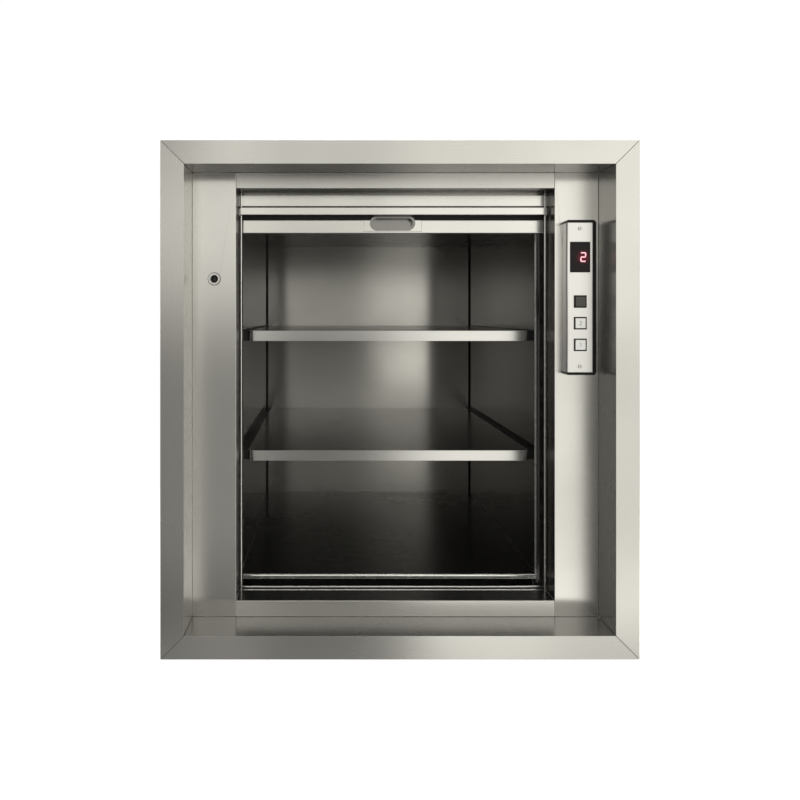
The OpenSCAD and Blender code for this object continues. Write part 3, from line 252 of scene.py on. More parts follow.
class Nodes:
    """A node tree and the helpers that add to it."""

    def __init__(self, tree):
        self.tree = tree

    def node(self, kind, **values):
        made = self.tree.nodes.new(kind)
        for key, value in values.items():
            setattr(made, key, value)
        return made

    def link(self, source, target):
        self.tree.links.new(source, target)

    def part(self, vector, axis):
        """One coordinate of a vector."""
        split = self.node("ShaderNodeSeparateXYZ")
        self.link(vector, split.inputs["Vector"])
        return split.outputs[axis]

    def span(self, fac, low, high, from_low=0.25, from_high=0.75, smooth=False):
        """A value that runs from low to high while fac runs from from_low to from_high."""
        made = self.node("ShaderNodeMapRange")
        if smooth:
            made.interpolation_type = "SMOOTHSTEP"
        for key, value in (("From Min", from_low), ("From Max", from_high),
                           ("To Min", low), ("To Max", high)):
            made.inputs[key].default_value = value
        self.link(fac, made.inputs["Value"])
        return made.outputs["Result"]

    def maths(self, operation, a, b):
        made = self.node("ShaderNodeMath", operation=operation)
        for socket, value in zip(made.inputs, (a, b)):
            if isinstance(value, (int, float)):
                socket.default_value = value
            else:
                self.link(value, socket)
        return made.outputs["Value"]

    def add(self, a, b):
        return self.maths("ADD", a, b)

    def times(self, a, b):
        return self.maths("MULTIPLY", a, b)

    def mix(self, fac, a, b):
        """The value a where fac is 0 and b where it is 1."""
        return self.add(self.times(self.maths("SUBTRACT", 1.0, fac), a), self.times(fac, b))

    def blend(self, fac, a, b):
        """The colour a where fac is 0 and b where it is 1."""
        made = self.node("ShaderNodeMix", data_type="RGBA")
        for socket, value in ((made.inputs[0], fac), (made.inputs[6], a), (made.inputs[7], b)):
            if isinstance(value, float):
                socket.default_value = value
            elif isinstance(value, tuple):
                socket.default_value = (*value, 1.0)
            else:
                self.link(value, socket)
        return made.outputs[2]

    def ramp(self, fac, stops, half=1.5):
        """A curve through stops of (value, level), for a value that runs from -half to half."""
        scaled = self.node("ShaderNodeMapRange")
        scaled.inputs["From Min"].default_value = -half
        scaled.inputs["From Max"].default_value = half
        self.link(fac, scaled.inputs["Value"])
        made = self.node("ShaderNodeValToRGB")
        made.color_ramp.interpolation = "EASE"
        points = made.color_ramp.elements
        while len(points) < len(stops):
            points.new(0.5)
        for point, (value, level) in zip(points, stops):
            point.position = (value + half) / (2 * half)
            point.color = (level / 2, level / 2, level / 2, 1)
        self.link(scaled.outputs["Result"], made.inputs["Fac"])
        return self.times(made.outputs["Color"], 2.0)


class Surface(Nodes):
    """A node material: a Principled shader and the helpers that feed it."""

    def __init__(self, name):
        self.material = bpy.data.materials.new(name)
        self.material.use_nodes = True
        super().__init__(self.material.node_tree)
        self.shader = self.tree.nodes["Principled BSDF"]
        self.place = self.node("ShaderNodeTexCoord").outputs["Object"]

    def set(self, **values):
        for key, value in values.items():
            socket = self.shader.inputs[key.replace("_", " ")]
            socket.default_value = (*value, 1.0) if isinstance(value, tuple) else value

    def wire(self, **sockets):
        for key, source in sockets.items():
            self.link(source, self.shader.inputs[key.replace("_", " ")])
        return self.material

    def noise(self, scale, detail=2.0, rough=0.5, stretch=(1, 1, 1)):
        mapping = self.node("ShaderNodeMapping")
        mapping.inputs["Scale"].default_value = stretch
        self.link(self.place, mapping.inputs["Vector"])
        made = self.node("ShaderNodeTexNoise")
        for key, value in (("Scale", scale), ("Detail", detail), ("Roughness", rough)):
            made.inputs[key].default_value = value
        self.link(mapping.outputs["Vector"], made.inputs["Vector"])
        return made.outputs["Fac"]

    def cells(self, scale):
        """Flat patches of different brightness."""
        made = self.node("ShaderNodeTexVoronoi")
        made.inputs["Scale"].default_value = scale
        self.link(self.place, made.inputs["Vector"])
        grey = self.node("ShaderNodeRGBToBW")
        self.link(made.outputs["Color"], grey.inputs["Color"])
        return grey.outputs["Val"]

    def bump(self, height, distance, strength=1.0, normal=None):
        made = self.node("ShaderNodeBump")
        made.inputs["Distance"].default_value = distance
        made.inputs["Strength"].default_value = strength
        self.link(height, made.inputs["Height"])
        if normal is not None:
            self.link(normal, made.inputs["Normal"])
        return made.outputs["Normal"]


def shade(colour, factor):
    return tuple(min(1.0, c * factor) for c in colour)


def brushed_steel(name, colour, rough, grain, aniso=0.8, streak=0.009, smudge=0.05, wave=0.0006, side_shade=1.0,
                  shaded_below=None, rim=1.0):
    """Brushed stainless steel whose grain runs along the axis named by grain.

    Faces that aren't seen square from the landing take the tint times a factor below one, given as its own
    argument: painted shade for returns, reveals and tops, which get less light. Below a height given as its own
    argument the sheet turns near black: painted shade for an apron in the shadow under the car floor's lip.
    Seen edge on, the steel reflects the share rim.
    """
    s = Surface(name)
    hair = s.noise(2200, 2, 0.6, tuple(0.003 if axis == grain else 1.0 for axis in "xyz"))
    band = s.noise(60, 3, 0.6, tuple(0.01 if axis == grain else 1.0 for axis in "xyz"))
    cloud = s.noise(4.0, 3, 0.55)
    fine = s.blend(s.span(hair, 0, 1), shade(colour, 1 - streak), shade(colour, 1 + streak))
    wide = 1.5 * streak
    broad = s.blend(s.span(band, 0, 1, 0.3, 0.7), shade(colour, 1 - wide), shade(colour, 1 + wide))
    tone = s.blend(0.4, fine, broad)
    tone = s.blend(s.span(cloud, 0, 1, 0.35, 0.7), tone, shade(colour, 1 - smudge))
    facing = s.node("ShaderNodeNewGeometry").outputs["Normal"]
    # Painted shade: faces turned away from the landing are darkened by a fixed factor.
    if side_shade < 1:
        square = s.maths("ABSOLUTE", s.part(facing, "Y"), 0.0)
        film_and_shade = s.blend(s.span(hair, 0, 1), shade(colour, side_shade * 0.97), shade(colour, side_shade * 1.03))
        tone = s.blend(s.span(square, 0, 1, 0.2, 0.6), film_and_shade, tone)
    # Painted shade: below a set height the sheet goes near black, for the apron in shadow under the floor's
    # lip.
    if shaded_below is not None:
        unshaded = s.span(s.part(s.place, "Z"), 0, 1, shaded_below - 0.0015, shaded_below)
        tone = s.blend(unshaded, shade(colour, 0.04), tone)
    gloss = s.add(s.span(hair, -0.006, 0.006), s.span(cloud, rough - 0.02, rough + 0.03))
    s.set(Metallic=1.0, Anisotropic=aniso, Specular_Tint=(rim, rim, rim))
    tangent = s.node("ShaderNodeVectorMath", operation="CROSS_PRODUCT")
    s.link(facing, tangent.inputs[0])
    tangent.inputs[1].default_value = tuple(1.0 if axis == grain else 0.02 for axis in "xyz")
    normal = s.bump(hair, 0.00002, 0.06, s.bump(s.noise(2.6, 1, 0.4), wave, 1.0))
    return s.wire(Base_Color=tone, Roughness=gloss, Normal=normal, Tangent=tangent.outputs["Vector"])


def turned_metal(name, colour, rough, scale=160.0, dirt=0.25, metallic=1.0):
    """Plain machined or drawn metal with a film of oil and handling marks."""
    s = Surface(name)
    cloud = s.noise(scale * 0.12, 4, 0.6)
    fine = s.noise(scale * 6, 2, 0.6)
    film_and_shade = s.blend(s.span(cloud, 0, 1, 0.4, 0.7), colour, shade(colour, 1 - dirt))
    tone = s.blend(s.span(fine, 0, 0.4), film_and_shade, shade(colour, 1.12))
    s.set(Metallic=metallic)
    gloss = s.add(s.span(cloud, rough - 0.06, rough + 0.1), s.span(fine, -0.04, 0.04))
    return s.wire(Base_Color=tone, Roughness=gloss, Normal=s.bump(fine, 0.00005, 0.6))


def galvanised_metal(name, colour):
    """Zinc with its patchwork of crystals."""
    s = Surface(name)
    crystal = s.cells(90.0)
    cloud = s.noise(14, 4, 0.6)
    tone = s.blend(s.span(crystal, 0, 1, 0.2, 0.8), shade(colour, 0.8), shade(colour, 1.12))
    tone = s.blend(s.span(cloud, 0, 0.5, 0.45, 0.75), tone, shade(colour, 0.78))
    s.set(Metallic=0.9)
    gloss = s.add(s.span(crystal, 0.3, 0.46, 0.2, 0.8), s.span(cloud, -0.04, 0.08))
    return s.wire(Base_Color=tone, Roughness=gloss, Normal=s.bump(s.noise(380, 3, 0.6), 0.00012, 0.5))


def coated(name, colour, rough, peel=700.0, depth=0.00012, wear=0.2, coat=0.0):
    """Powder coat or enamel over metal: orange peel, dust and thin spots."""
    s = Surface(name)
    bumps = s.noise(peel, 2, 0.5)
    dust = s.noise(9, 4, 0.65)
    spots = s.noise(120, 3, 0.7)
    tone = s.blend(s.span(dust, 0, 1, 0.35, 0.75), shade(colour, 1 - wear * 0.5), shade(colour, 1 + wear))
    tone = s.blend(s.span(spots, 0, 0.5, 0.6, 0.85), tone, shade(colour, 1.5))
    s.set(Coat_Weight=coat, Coat_Roughness=0.15)
    gloss = s.add(s.span(dust, rough - 0.06, rough + 0.1), s.span(bumps, -0.04, 0.04))
    return s.wire(Base_Color=tone, Roughness=gloss, Normal=s.bump(bumps, depth, 0.7))


def cast(name, colour, rough, metallic):
    """Cast iron, with its sandy skin."""
    s = Surface(name)
    sand = s.noise(420, 4, 0.7)
    cloud = s.noise(16, 4, 0.6)
    tone = s.blend(s.span(cloud, 0, 1, 0.35, 0.7), shade(colour, 0.8), shade(colour, 1.25))
    tone = s.blend(s.span(sand, 0, 0.6, 0.5, 0.8), tone, shade(colour, 1.6))
    s.set(Metallic=metallic)
    return s.wire(Base_Color=tone, Roughness=s.span(sand, rough - 0.1, rough + 0.15),
                  Normal=s.bump(sand, 0.0003, 0.8))


def moulded(name, colour, rough, grain=900.0, depth=0.00006, mottle=0.06, gloss=0.5, glow=0.0):
    """Moulded plastic or rubber with a fine texture and slight mottling."""
    s = Surface(name)
    texture = s.noise(grain, 2, 0.5)
    cloud = s.noise(30, 3, 0.6)
    tone = s.blend(s.span(cloud, 0, 1, 0.35, 0.7), shade(colour, 1 - mottle), shade(colour, 1 + mottle))
    s.set(Specular_IOR_Level=gloss, Emission_Color=colour, Emission_Strength=glow)
    matt = s.add(s.span(cloud, rough - 0.03, rough + 0.05), s.span(texture, -0.04, 0.04))
    return s.wire(Base_Color=tone, Roughness=matt, Normal=s.bump(texture, depth, 0.6))


def lit_window(name, figure):
    """Smoked display window with the red bloom of the lit figure behind it."""
    s = Surface(name)
    offset = s.node("ShaderNodeVectorMath", operation="DISTANCE")
    s.link(s.place, offset.inputs[0])
    offset.inputs[1].default_value = size_of(figure)[2]
    bloom = s.span(offset.outputs["Value"], 1.0, 0.0, 0.004, 0.02, True)
    grit = s.noise(600, 2, 0.5)
    glow = s.times(s.times(bloom, bloom), s.span(grit, 0.8, 1.1))
    s.set(Specular_IOR_Level=0.16, Emission_Strength=0.09)
    colour = s.blend(glow, (0.0, 0.0, 0.0), (1.0, 0.03, 0.10))
    base = s.blend(s.span(grit, 0, 1), (0.012, 0.009, 0.010), (0.020, 0.015, 0.017))
    return s.wire(Base_Color=base, Emission_Color=colour, Roughness=s.span(grit, 0.12, 0.2))


def lit_figure(name):
    """Light-emitting segments: pinkish white, redder in patches."""
    s = Surface(name)
    grit = s.noise(420, 3, 0.6)
    colour = s.blend(s.span(grit, 0, 1, 0.3, 0.7), (1.0, 0.42, 0.52), (1.0, 0.78, 0.82))
    s.set(Emission_Strength=0.95)
    return s.wire(Base_Color=s.blend(s.span(grit, 0, 1), (0.7, 0.2, 0.25), (0.8, 0.35, 0.4)),
                  Emission_Color=colour, Roughness=s.span(grit, 0.3, 0.45))


def dress(material, *names):
    """Put a material on the named CAD nodes, in place of what they had."""
    for name in names:
        nodes[name].data.materials.clear()
        nodes[name].data.materials.append(material)


steel_tint = (0.70, 0.69, 0.665)
dress(brushed_steel("casing_left_brushed", steel_tint, 0.26, "z"), "casing_left")
# The right casing darkens its reveal and returns and the left one doesn't: a shaded copy of the same steel,
# painted shade beside the control box.
dress(brushed_steel("casing_right_shaded", steel_tint, 0.26, "z", side_shade=0.65), "casing_right")
dress(brushed_steel("casing_level", steel_tint, 0.26, "x", side_shade=0.47), "casing_top", "casing_bottom")
# Jambs, sill, head rails and upper leaf take lighter tints of the casing's steel: painted light, for the
# brighter light that falls on them.
dress(brushed_steel("jamb_brushed", (0.77, 0.76, 0.735), 0.24, "z", side_shade=0.22), "jamb_left", "jamb_right")
dress(brushed_steel("header_brushed", steel_tint, 0.25, "x", side_shade=0.25), "header")
dress(brushed_steel("sill_brushed", (0.83, 0.82, 0.795), 0.25, "x", side_shade=0.3), "sill")
dress(brushed_steel("rail_brushed", (0.84, 0.83, 0.80), 0.24, "x", side_shade=0.3), "head_rails")
dress(brushed_steel("door_brushed", (0.80, 0.79, 0.76), 0.24, "x", side_shade=0.6), "upper_door_leaf", "pull_plate")
# The lower leaf is the upper leaf's steel tinted darker: painted shade for its place under the sill.
dress(brushed_steel("lower_door_shaded", (0.62, 0.61, 0.59), 0.26, "x"), "lower_door_leaf")
dress(brushed_steel("pull_metal", (0.27, 0.265, 0.255), 0.2, "x", 0.2, 0.02, 0.08), "flush_pull")
dress(brushed_steel("panel_brushed", (0.78, 0.775, 0.76), 0.3, "z", 0.3, 0.03, 0.03), "control_cover")
dress(brushed_steel("shelf_brushed", (0.74, 0.735, 0.72), 0.22, "x", 0.4, side_shade=0.34),
      "upper_shelf", "lower_shelf")
# The car's back and sides are the landing's steel tinted darker, the sides darkest: painted shade for the dim
# inside of the car.
dress(brushed_steel("car_back_shaded", (0.55, 0.54, 0.515), 0.19, "x", 0.85, 0.012, 0.08, 0.0004), "car_back")
dress(brushed_steel("car_side_shaded", (0.24, 0.237, 0.233), 0.10, "y", 0.85, 0.012, 0.08, 0.0004, rim=0.7),
      "car_side_left", "car_side_right")
car_floor_brushed = brushed_steel("car_floor_brushed", (0.60, 0.595, 0.58), 0.26, "x", 0.6, 0.009, 0.08, 0.0004,
                                  side_shade=0.34, shaded_below=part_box("car_floor")[1].z - 10.5 * mm)
dress(car_floor_brushed, "car_floor", "car_ceiling")
dress(turned_metal("fitting_metal", (0.56, 0.55, 0.54), 0.2, 260.0, 0.12), "panel_screws")
dress(turned_metal("drawn_steel", (0.42, 0.42, 0.42), 0.3, 120.0, 0.3),
      "car_guide_rails", "counterweight_rails")
bolt_steel = turned_metal("bolt_steel", (0.62, 0.63, 0.64), 0.28, 400.0, 0.25)
rope_metal = turned_metal("rope_metal", (0.32, 0.32, 0.31), 0.38, 500.0, 0.45)
# The next two are lighter steels for beads, bevelled edges and the release ring: painted highlight, so that
# these edges shine from any side.
edge_metal = turned_metal("edge_metal", (0.86, 0.85, 0.82), 0.22, 300.0, 0.12)
edge_highlight = turned_metal("edge_highlight", (0.97, 0.96, 0.93), 0.4, 300.0, 0.04, 0.45)
dress(edge_highlight, "release_ring")
dress(galvanised_metal("zinc", (0.56, 0.58, 0.6)), "rail_brackets", "pulley_brackets", "car_sling")
# The door guides are the zinc tinted near black: painted shade for the gaps beside the jambs.
dress(galvanised_metal("guide_zinc_shaded", (0.15, 0.148, 0.145)), "door_guide_left", "door_guide_right")
frame_coat = coated("frame_coat", (0.11, 0.125, 0.145), 0.42)
dress(frame_coat, "base_frame", "corner_posts", "cross_rails", "machine_bed", "counterweight_frame")
machine_enamel = coated("machine_enamel", (0.045, 0.10, 0.115), 0.34, 500.0, 0.0001, 0.2, 0.3)
dress(machine_enamel, "gearbox")
motor_enamel = coated("motor_enamel", (0.06, 0.085, 0.10), 0.36, 500.0, 0.0001, 0.2, 0.3)
dress(motor_enamel, "motor")
lock_coat = coated("lock_coat", (0.012, 0.012, 0.014), 0.4)
dress(lock_coat, "door_lock")
dress(coated("support_coat", (0.020, 0.020, 0.021), 0.42), "shelf_supports", "release_spindle")
dress(cast("weight_cast", (0.022, 0.022, 0.024), 0.6, 0.2), "counterweight_plates")
dress(cast("sheave_cast", (0.20, 0.205, 0.205), 0.42, 0.85), "sheave")
dress(moulded("nylon_moulded", (0.74, 0.71, 0.63), 0.42),
      "door_pulley_left", "door_pulley_right", "upper_door_shoes", "lower_door_shoes", "car_guide_shoes")
black_moulded = moulded("black_moulded", (0.006, 0.006, 0.0065), 0.38, gloss=0.2)
dress(black_moulded, "control_edging", "button_bezels")
rubber_moulded = moulded("rubber_moulded", (0.014, 0.014, 0.014), 0.7, 500.0, 0.0002, 0.2)
dress(rubber_moulded, "pit_buffers")
key_print = moulded("key_print", (0.30, 0.30, 0.30), 0.5)
dress(moulded("dark_key", (0.085, 0.08, 0.072), 0.36), "call_button")
# The white keys glow faintly though nothing lights them: painted light that makes them read brighter.
dress(moulded("white_key_glowing", (0.83, 0.83, 0.80), 0.34, 900.0, 0.00004, 0.03, glow=0.3),
      "floor_two_button", "floor_one_button")
dress(lit_window("window_glass", "display_digit"), "display_window")
dress(lit_figure("figure_light"), "display_digit")

# Folded sheets have rounded edges; all but the casing's take the pale edge steel on their bevels, a painted
# highlight that makes the edges shine.
folded_sheets = ("casing_left", "casing_right", "casing_top", "casing_bottom", "jamb_left", "jamb_right",
                 "header", "sill", "head_rails", "upper_door_leaf", "lower_door_leaf", "control_cover",
                 "car_floor", "upper_shelf", "lower_shelf")
for name in folded_sheets:
    joined = nodes[name].modifiers.new("weld", "WELD")
    joined.merge_threshold = 0.01 * mm
    soften = nodes[name].modifiers.new("edges", "BEVEL")
    soften.width = 0.7 * mm
    soften.segments = 2
    soften.limit_method = "ANGLE"
    soften.angle_limit = math.radians(35)
    soften.harden_normals = True
    if not name.startswith("casing"):
        nodes[name].data.materials.append(edge_highlight)
        soften.material = 1


def piece(name, bm, material, body, smooth_angle=40):
    """A piece of the object that rides on a body, in the given material."""
    obj = mesh_object(name, bm, material, smooth_angle)
    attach(obj, body)
    return obj


# ---------------- ropes

car_rope_low, car_rope_high, car_rope_mid = size_of("car_ropes")
_, _, weight_rope_mid = size_of("counterweight_ropes")
hoist_r = (car_rope_high.y - car_rope_low.y) / 2
hoist_x = car_rope_high.x - hoist_r
hoist_step = lay_of(hoist_r) / 10
sheave_top = Vector((0, (car_rope_mid.y + weight_rope_mid.y) / 2, car_rope_high.z))
pitch_r = (weight_rope_mid.y - car_rope_mid.y) / 2

upper_rope_low, upper_rope_high, upper_rope_mid = size_of("upper_door_ropes")
lower_rope_low, lower_rope_high, _ = size_of("lower_door_ropes")
door_r = (upper_rope_high.y - upper_rope_low.y) / 2
upper_x = upper_rope_high.x - door_r
lower_x = lower_rope_high.x - door_r
door_step = lay_of(door_r) / 8
door_pitch_r = (lower_x - upper_x) / 2
pulley_x = upper_x + door_pitch_r


def replace_ropes(name, node, strands, radius, step, way, sign):
    """Laid ropes in place of a node's plain ones, from the fixed wheel down to the body that they
    move. Strands are (x, side, other side); way is the rope's length before the run."""
    low, high, mid = size_of(node)
    bm = bmesh.new()
    for x, side, other in strands:
        run = straight_frames((x, mid.y, high.z), (x, mid.y, low.z), side, other, way, step, sign)
        add_rope(bm, run, radius)
    obj = mesh_object(name, bm, rope_metal, 80)
    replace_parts(obj, node)
    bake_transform(obj)


hoist_sides = (-hoist_x, hoist_x)
replace_ropes("hoist_ropes_car", "car_ropes", [(x, right, -back) for x in hoist_sides],
              hoist_r, hoist_step, math.pi * pitch_r, 1)
replace_ropes("hoist_ropes_counterweight", "counterweight_ropes", [(x, right, back) for x in hoist_sides],
              hoist_r, hoist_step, 0, -1)
replace_ropes("door_ropes_upper", "upper_door_ropes", [(side * upper_x, back, -side * right) for side in sides],
              door_r, door_step, math.pi * door_pitch_r, 1)
replace_ropes("door_ropes_lower", "lower_door_ropes", [(side * lower_x, back, side * right) for side in sides],
              door_r, door_step, 0, -1)
wraps = bmesh.new()
for side in sides:
    add_rope(wraps, arc_frames(sheave_top + side * hoist_x * right, pitch_r, back, right, hoist_step), hoist_r)
    pulley = Vector((side * pulley_x, upper_rope_mid.y, upper_rope_high.z))
    add_rope(wraps, arc_frames(pulley, door_pitch_r, side * right, back, door_step), door_r)
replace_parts(piece("rope_turns", wraps, rope_metal, "tower", 80), "rope_wraps")

# ---------------- trim inside the hatch

leaf_low, leaf_high, _ = size_of("upper_door_leaf")
pull_low, pull_high, pull_mid = size_of("flush_pull")
guide_low, guide_high, _ = size_of("door_guide_right")
leaf_face = leaf_low.y + 3 * mm
leaf_end = leaf_high.x - 4 * mm

# A black strip behind the grip rail, painted shade for the shadow under the head rails; it steps up over the
# pull's round-ended cup.
grip_top = leaf_low.z + 24.7 * mm
shade_strip_top = leaf_low.z + 34 * mm
shade_strip_front = leaf_face - 2.4 * mm
shade_strip_round = 0.8 * mm
shade_strip_end = guide_low.x - 1 * mm
pull_rim = 2.6 * mm
cup_r = (pull_high.z - pull_low.z) / 2 - pull_rim
cup_x = (pull_high.x - pull_low.x) / 2 - cup_r - pull_rim
cup_start = math.asin((grip_top - pull_mid.z) / cup_r)
cup_turns = [math.pi / 2 + (cup_start - math.pi / 2) * i / 10 for i in range(11)]
right_edge = [(cup_x + cup_r * math.cos(t), pull_mid.z + cup_r * math.sin(t)) for t in cup_turns]
right_edge.append((shade_strip_end, grip_top))
lower_edge = [(-x, z) for x, z in reversed(right_edge)] + right_edge
shade_strip = bmesh.new()
skin(shade_strip, [[(x, shade_strip_front, z), (x, shade_strip_front, shade_strip_top - shade_strip_round), (x, shade_strip_front + shade_strip_round, shade_strip_top),
             (x, leaf_face, shade_strip_top), (x, leaf_face, z)] for x, z in lower_edge])
piece("leaf_shade_strip", shade_strip, rubber_moulded, "upper_door", 30)

floor_low, floor_high, _ = size_of("car_floor")
ceiling_low, ceiling_high, _ = size_of("car_ceiling")
post_x = floor_high.x - 2.2 * mm
post_gap = 0.5 * mm
nose_x = floor_high.x - 1 * mm
nose_z = floor_high.z - 5 * mm
front_edges = bmesh.new()
for side in sides:
    add_half_round(front_edges, (side * post_x, floor_low.y, floor_high.z + post_gap),
                   (side * post_x, floor_low.y, ceiling_low.z - post_gap), right, -back, 1.8, 1.5)
add_half_round(front_edges, (-nose_x, floor_low.y, nose_z), (nose_x, floor_low.y, nose_z), up, -back, 5, 3)
piece("car_front_edges", front_edges, edge_metal, "car", 50)

lips = bmesh.new()
for side in sides:
    x, y = side * (guide_low.x - 0.6 * mm), guide_low.y - 0.15 * mm
    add_half_round(lips, (x, y, guide_low.z + 2 * mm), (x, y, guide_high.z - 2 * mm), right, -back, 1.7, 1.3)
piece("guide_edges", lips, edge_metal, "tower", 50)

ring_low, ring_high, ring_mid = size_of("release_ring")
ring_r = (ring_high.x - ring_low.x) / 2
jamb_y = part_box("jamb_left")[0].y
# A thin black ring round the release ring: painted shade for the shadow at its edge.
shade_ring = bmesh.new()
shade_ring_section = ((0.05, 0), (0.05, 0.5), (0.5, 0.7), (1.0, 0.5), (1.2, 0))
skin(shade_ring, [[(ring_mid.x + (ring_r + r * mm) * x, jamb_y - rise * mm, ring_mid.z + (ring_r + r * mm) * z)
               for r, rise in shade_ring_section] for x, z in around(48)], closed=True)
piece("release_shade_ring", shade_ring, rubber_moulded, "tower", 40)

top_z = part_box("lower_door_leaf")[1].z
rims = bmesh.new()
for depth in (1.5, 16.5):
    y = leaf_face + depth * mm
    add_half_round(rims, (-leaf_end, y, top_z), (leaf_end, y, top_z), back, up, 1.4, 1.3)
piece("lower_leaf_rims", rims, edge_metal, "lower_door", 50)

strip = bmesh.new()
add_box(strip, (-leaf_end, leaf_face + 3.3 * mm, top_z - 2.9 * mm),
        (leaf_end, leaf_face + 14.7 * mm, top_z - 0.9 * mm), 0.7)
piece("meeting_seal", strip, rubber_moulded, "lower_door", 40)

# Dark plates and angles behind the casing's mitres, so that no light shows through them.
casing_boxes = [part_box("casing_" + side) for side in ("left", "right", "top", "bottom")]
casing_low = Vector(map(min, *(low for low, high in casing_boxes)))
casing_high = Vector(map(max, *(high for low, high in casing_boxes)))
flange_width = 41.5 * mm
mitre_inset = 2 * mm
mitre_half = 3 * mm
plate_front, plate_rear, angle_rear = 1.6, 2.6, 66
mitres = bmesh.new()
for side_x in sides:
    for side_z in sides:
        outwards = Vector((side_x, 0, side_z))
        corner = Vector((side_x * casing_high.x, 0, casing_high.z if side_z > 0 else casing_low.z))
        inner, outer = corner - outwards * flange_width, corner - outwards * mitre_inset
        run = (outer - inner).normalized()
        across = Vector((-run.z, 0, run.x)) * mitre_half
        plate = [inner - across, inner + across, outer + across, outer - across]
        skin(mitres, [[(p.x, wall_y + depth * mm, p.z) for p in plate] for depth in (plate_front, plate_rear)])
        near = Vector((inner.x, wall_y + plate_rear * mm, inner.z))
        for along, over in ((-8, 1), (1, -8)):
            far = at(inner.x / mm + side_x * along, angle_rear, inner.z / mm + side_z * over)
            add_box(mitres, Vector(map(min, near, far)), Vector(map(max, near, far)))
piece("mitre_backing", mitres, lock_coat, "tower", 30)

lower_shelf, upper_shelf, car_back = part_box("lower_shelf"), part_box("upper_shelf"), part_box("car_back")
storeys = ((floor_high.z, lower_shelf[0].z), (lower_shelf[1].z, upper_shelf[0].z),
           (upper_shelf[1].z, ceiling_low.z))
bead_r = 3.5 * mm
bead_turns = [math.pi / 2 * i / 6 for i in range(7)]
bead = [(0, 0)] + [(bead_r * (1 - math.sin(t)), bead_r * (1 - math.cos(t))) for t in bead_turns]
beads = bmesh.new()
for side in sides:
    for storey in storeys:
        skin(beads, [[(side * (car_back[1].x - x), car_back[0].y - y, z) for x, y in bead] for z in storey])
piece("car_corner_beads", beads, rubber_moulded, "car", 30)


def key_figure(name, button, strokes):
    """A plain numeral printed on a button's face: strokes of points in units of its height."""
    low, high, mid = size_of(button)
    tall = 0.4 * (high.z - low.z)
    bm = bmesh.new()
    for points in strokes:
        add_ribbon(bm, [(mid.x + u * tall, mid.z + v * tall) for u, v in points],
                   0.13 * tall, low.y - 0.12 * mm, low.y + 0.05 * mm)
    piece(name, bm, key_print, button, 30)


bowl_turns = [math.radians(150 - 24 * i) for i in range(9)]
bowl = [(0.27 * math.cos(t), 0.24 + 0.24 * math.sin(t)) for t in bowl_turns]
key_figure("figure_two", "floor_two_button", [[(-0.27, 0.24)] + bowl + [(-0.28, -0.46), (0.30, -0.46)]])
key_figure("figure_one", "floor_one_button", [[(-0.16, 0.30), (0.04, 0.48), (0.04, -0.48)]])

# ---------------- fasteners and welds

# From here to the machine's end, plain numbers are the millimetres that at() takes.
post_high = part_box("corner_posts")[1]
post_top = post_high.z / mm
frame_half = post_high.x / mm
frame_back = (post_high.y - wall_y) / mm
post_front, post_leg, post_t = 105, 50, 5
foot_top = 8
foot_inset = 75
tie_x = frame_half - 10
tie_inset = 28
tie_levels = (420, 1070, 1720)
top_tie = post_top - 25
top_bracket = post_top - 37.5
_, rail_high, rail_mid = size_of("car_guide_rails")
_, weight_rail_high, weight_rail_mid = size_of("counterweight_rails")
rail_foot_t = 5
rail_foot_x = rail_high.x / mm - rail_foot_t
rail_depth = (rail_mid.y - wall_y) / mm
weight_foot_x = weight_rail_high.x / mm - rail_foot_t
weight_rail_depth = (weight_rail_mid.y - wall_y) / mm
pulley_z = upper_rope_high.z / mm
rear_bolt_x, rear_bolt_depth = weight_foot_x + 43, frame_back - 15.4
bracket_x, bracket_depth = tie_x - 4.2, 188
pulley_pin_depth = 162
guide_lug_x, guide_lug_depth = 385, post_front + 9.2
guide_lug_levels = (guide_low.z / mm + 60, 970, 2106, guide_high.z / mm - 60)

bolts = bmesh.new()
for side in sides:
    outward, inward = side * right, -side * right
    for depth in (post_front + foot_inset, frame_back - foot_inset):
        add_bolt(bolts, at(side * (frame_half - foot_inset), depth, foot_top), up, 12, 14)
    for level in tie_levels + (top_tie,):
        for depth in (post_front + tie_inset, frame_back - tie_inset):
            for shift in (-14, 14):
                add_bolt(bolts, at(side * tie_x, depth, level + shift), inward, 8, 3)
                add_button_head(bolts, at(side * frame_half, depth, level + shift), outward, 7, 3.4)
    for level in tie_levels + (top_bracket,):
        for x, depth, shift in ((rail_foot_x, rail_depth, 16.5), (weight_foot_x, weight_rail_depth, 13)):
            add_bolt(bolts, at(side * x, depth - shift, level), inward, 8)
            add_bolt(bolts, at(side * x, depth + shift, level), inward, 8)
        add_bolt(bolts, at(side * rear_bolt_x, rear_bolt_depth, level), -back, 8)
    add_bolt(bolts, at(side * bracket_x, bracket_depth, pulley_z), inward, 8)
    add_bolt(bolts, at(side * pulley_x / mm, pulley_pin_depth, pulley_z), back, 9, 3)
    for level in guide_lug_levels:
        add_bolt(bolts, at(side * guide_lug_x, guide_lug_depth, level), back, 8)
piece("frame_bolts", bolts, bolt_steel, "tower", 35)

sheave_depth = (sheave_top.y - wall_y) / mm
sheave_z = sheave_top.z / mm
bed_top = sheave_z - 109.9
bed_front = (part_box("machine_bed")[0].y - wall_y) / mm
cross_top = post_top + 60.3
casing_tie_feet, casing_tie_h = (1068.5, 1957.5), 50
beam_edges = (-110, -70, 62, 102, 176, 216)
cross_w = 40
pedestal_half = 45

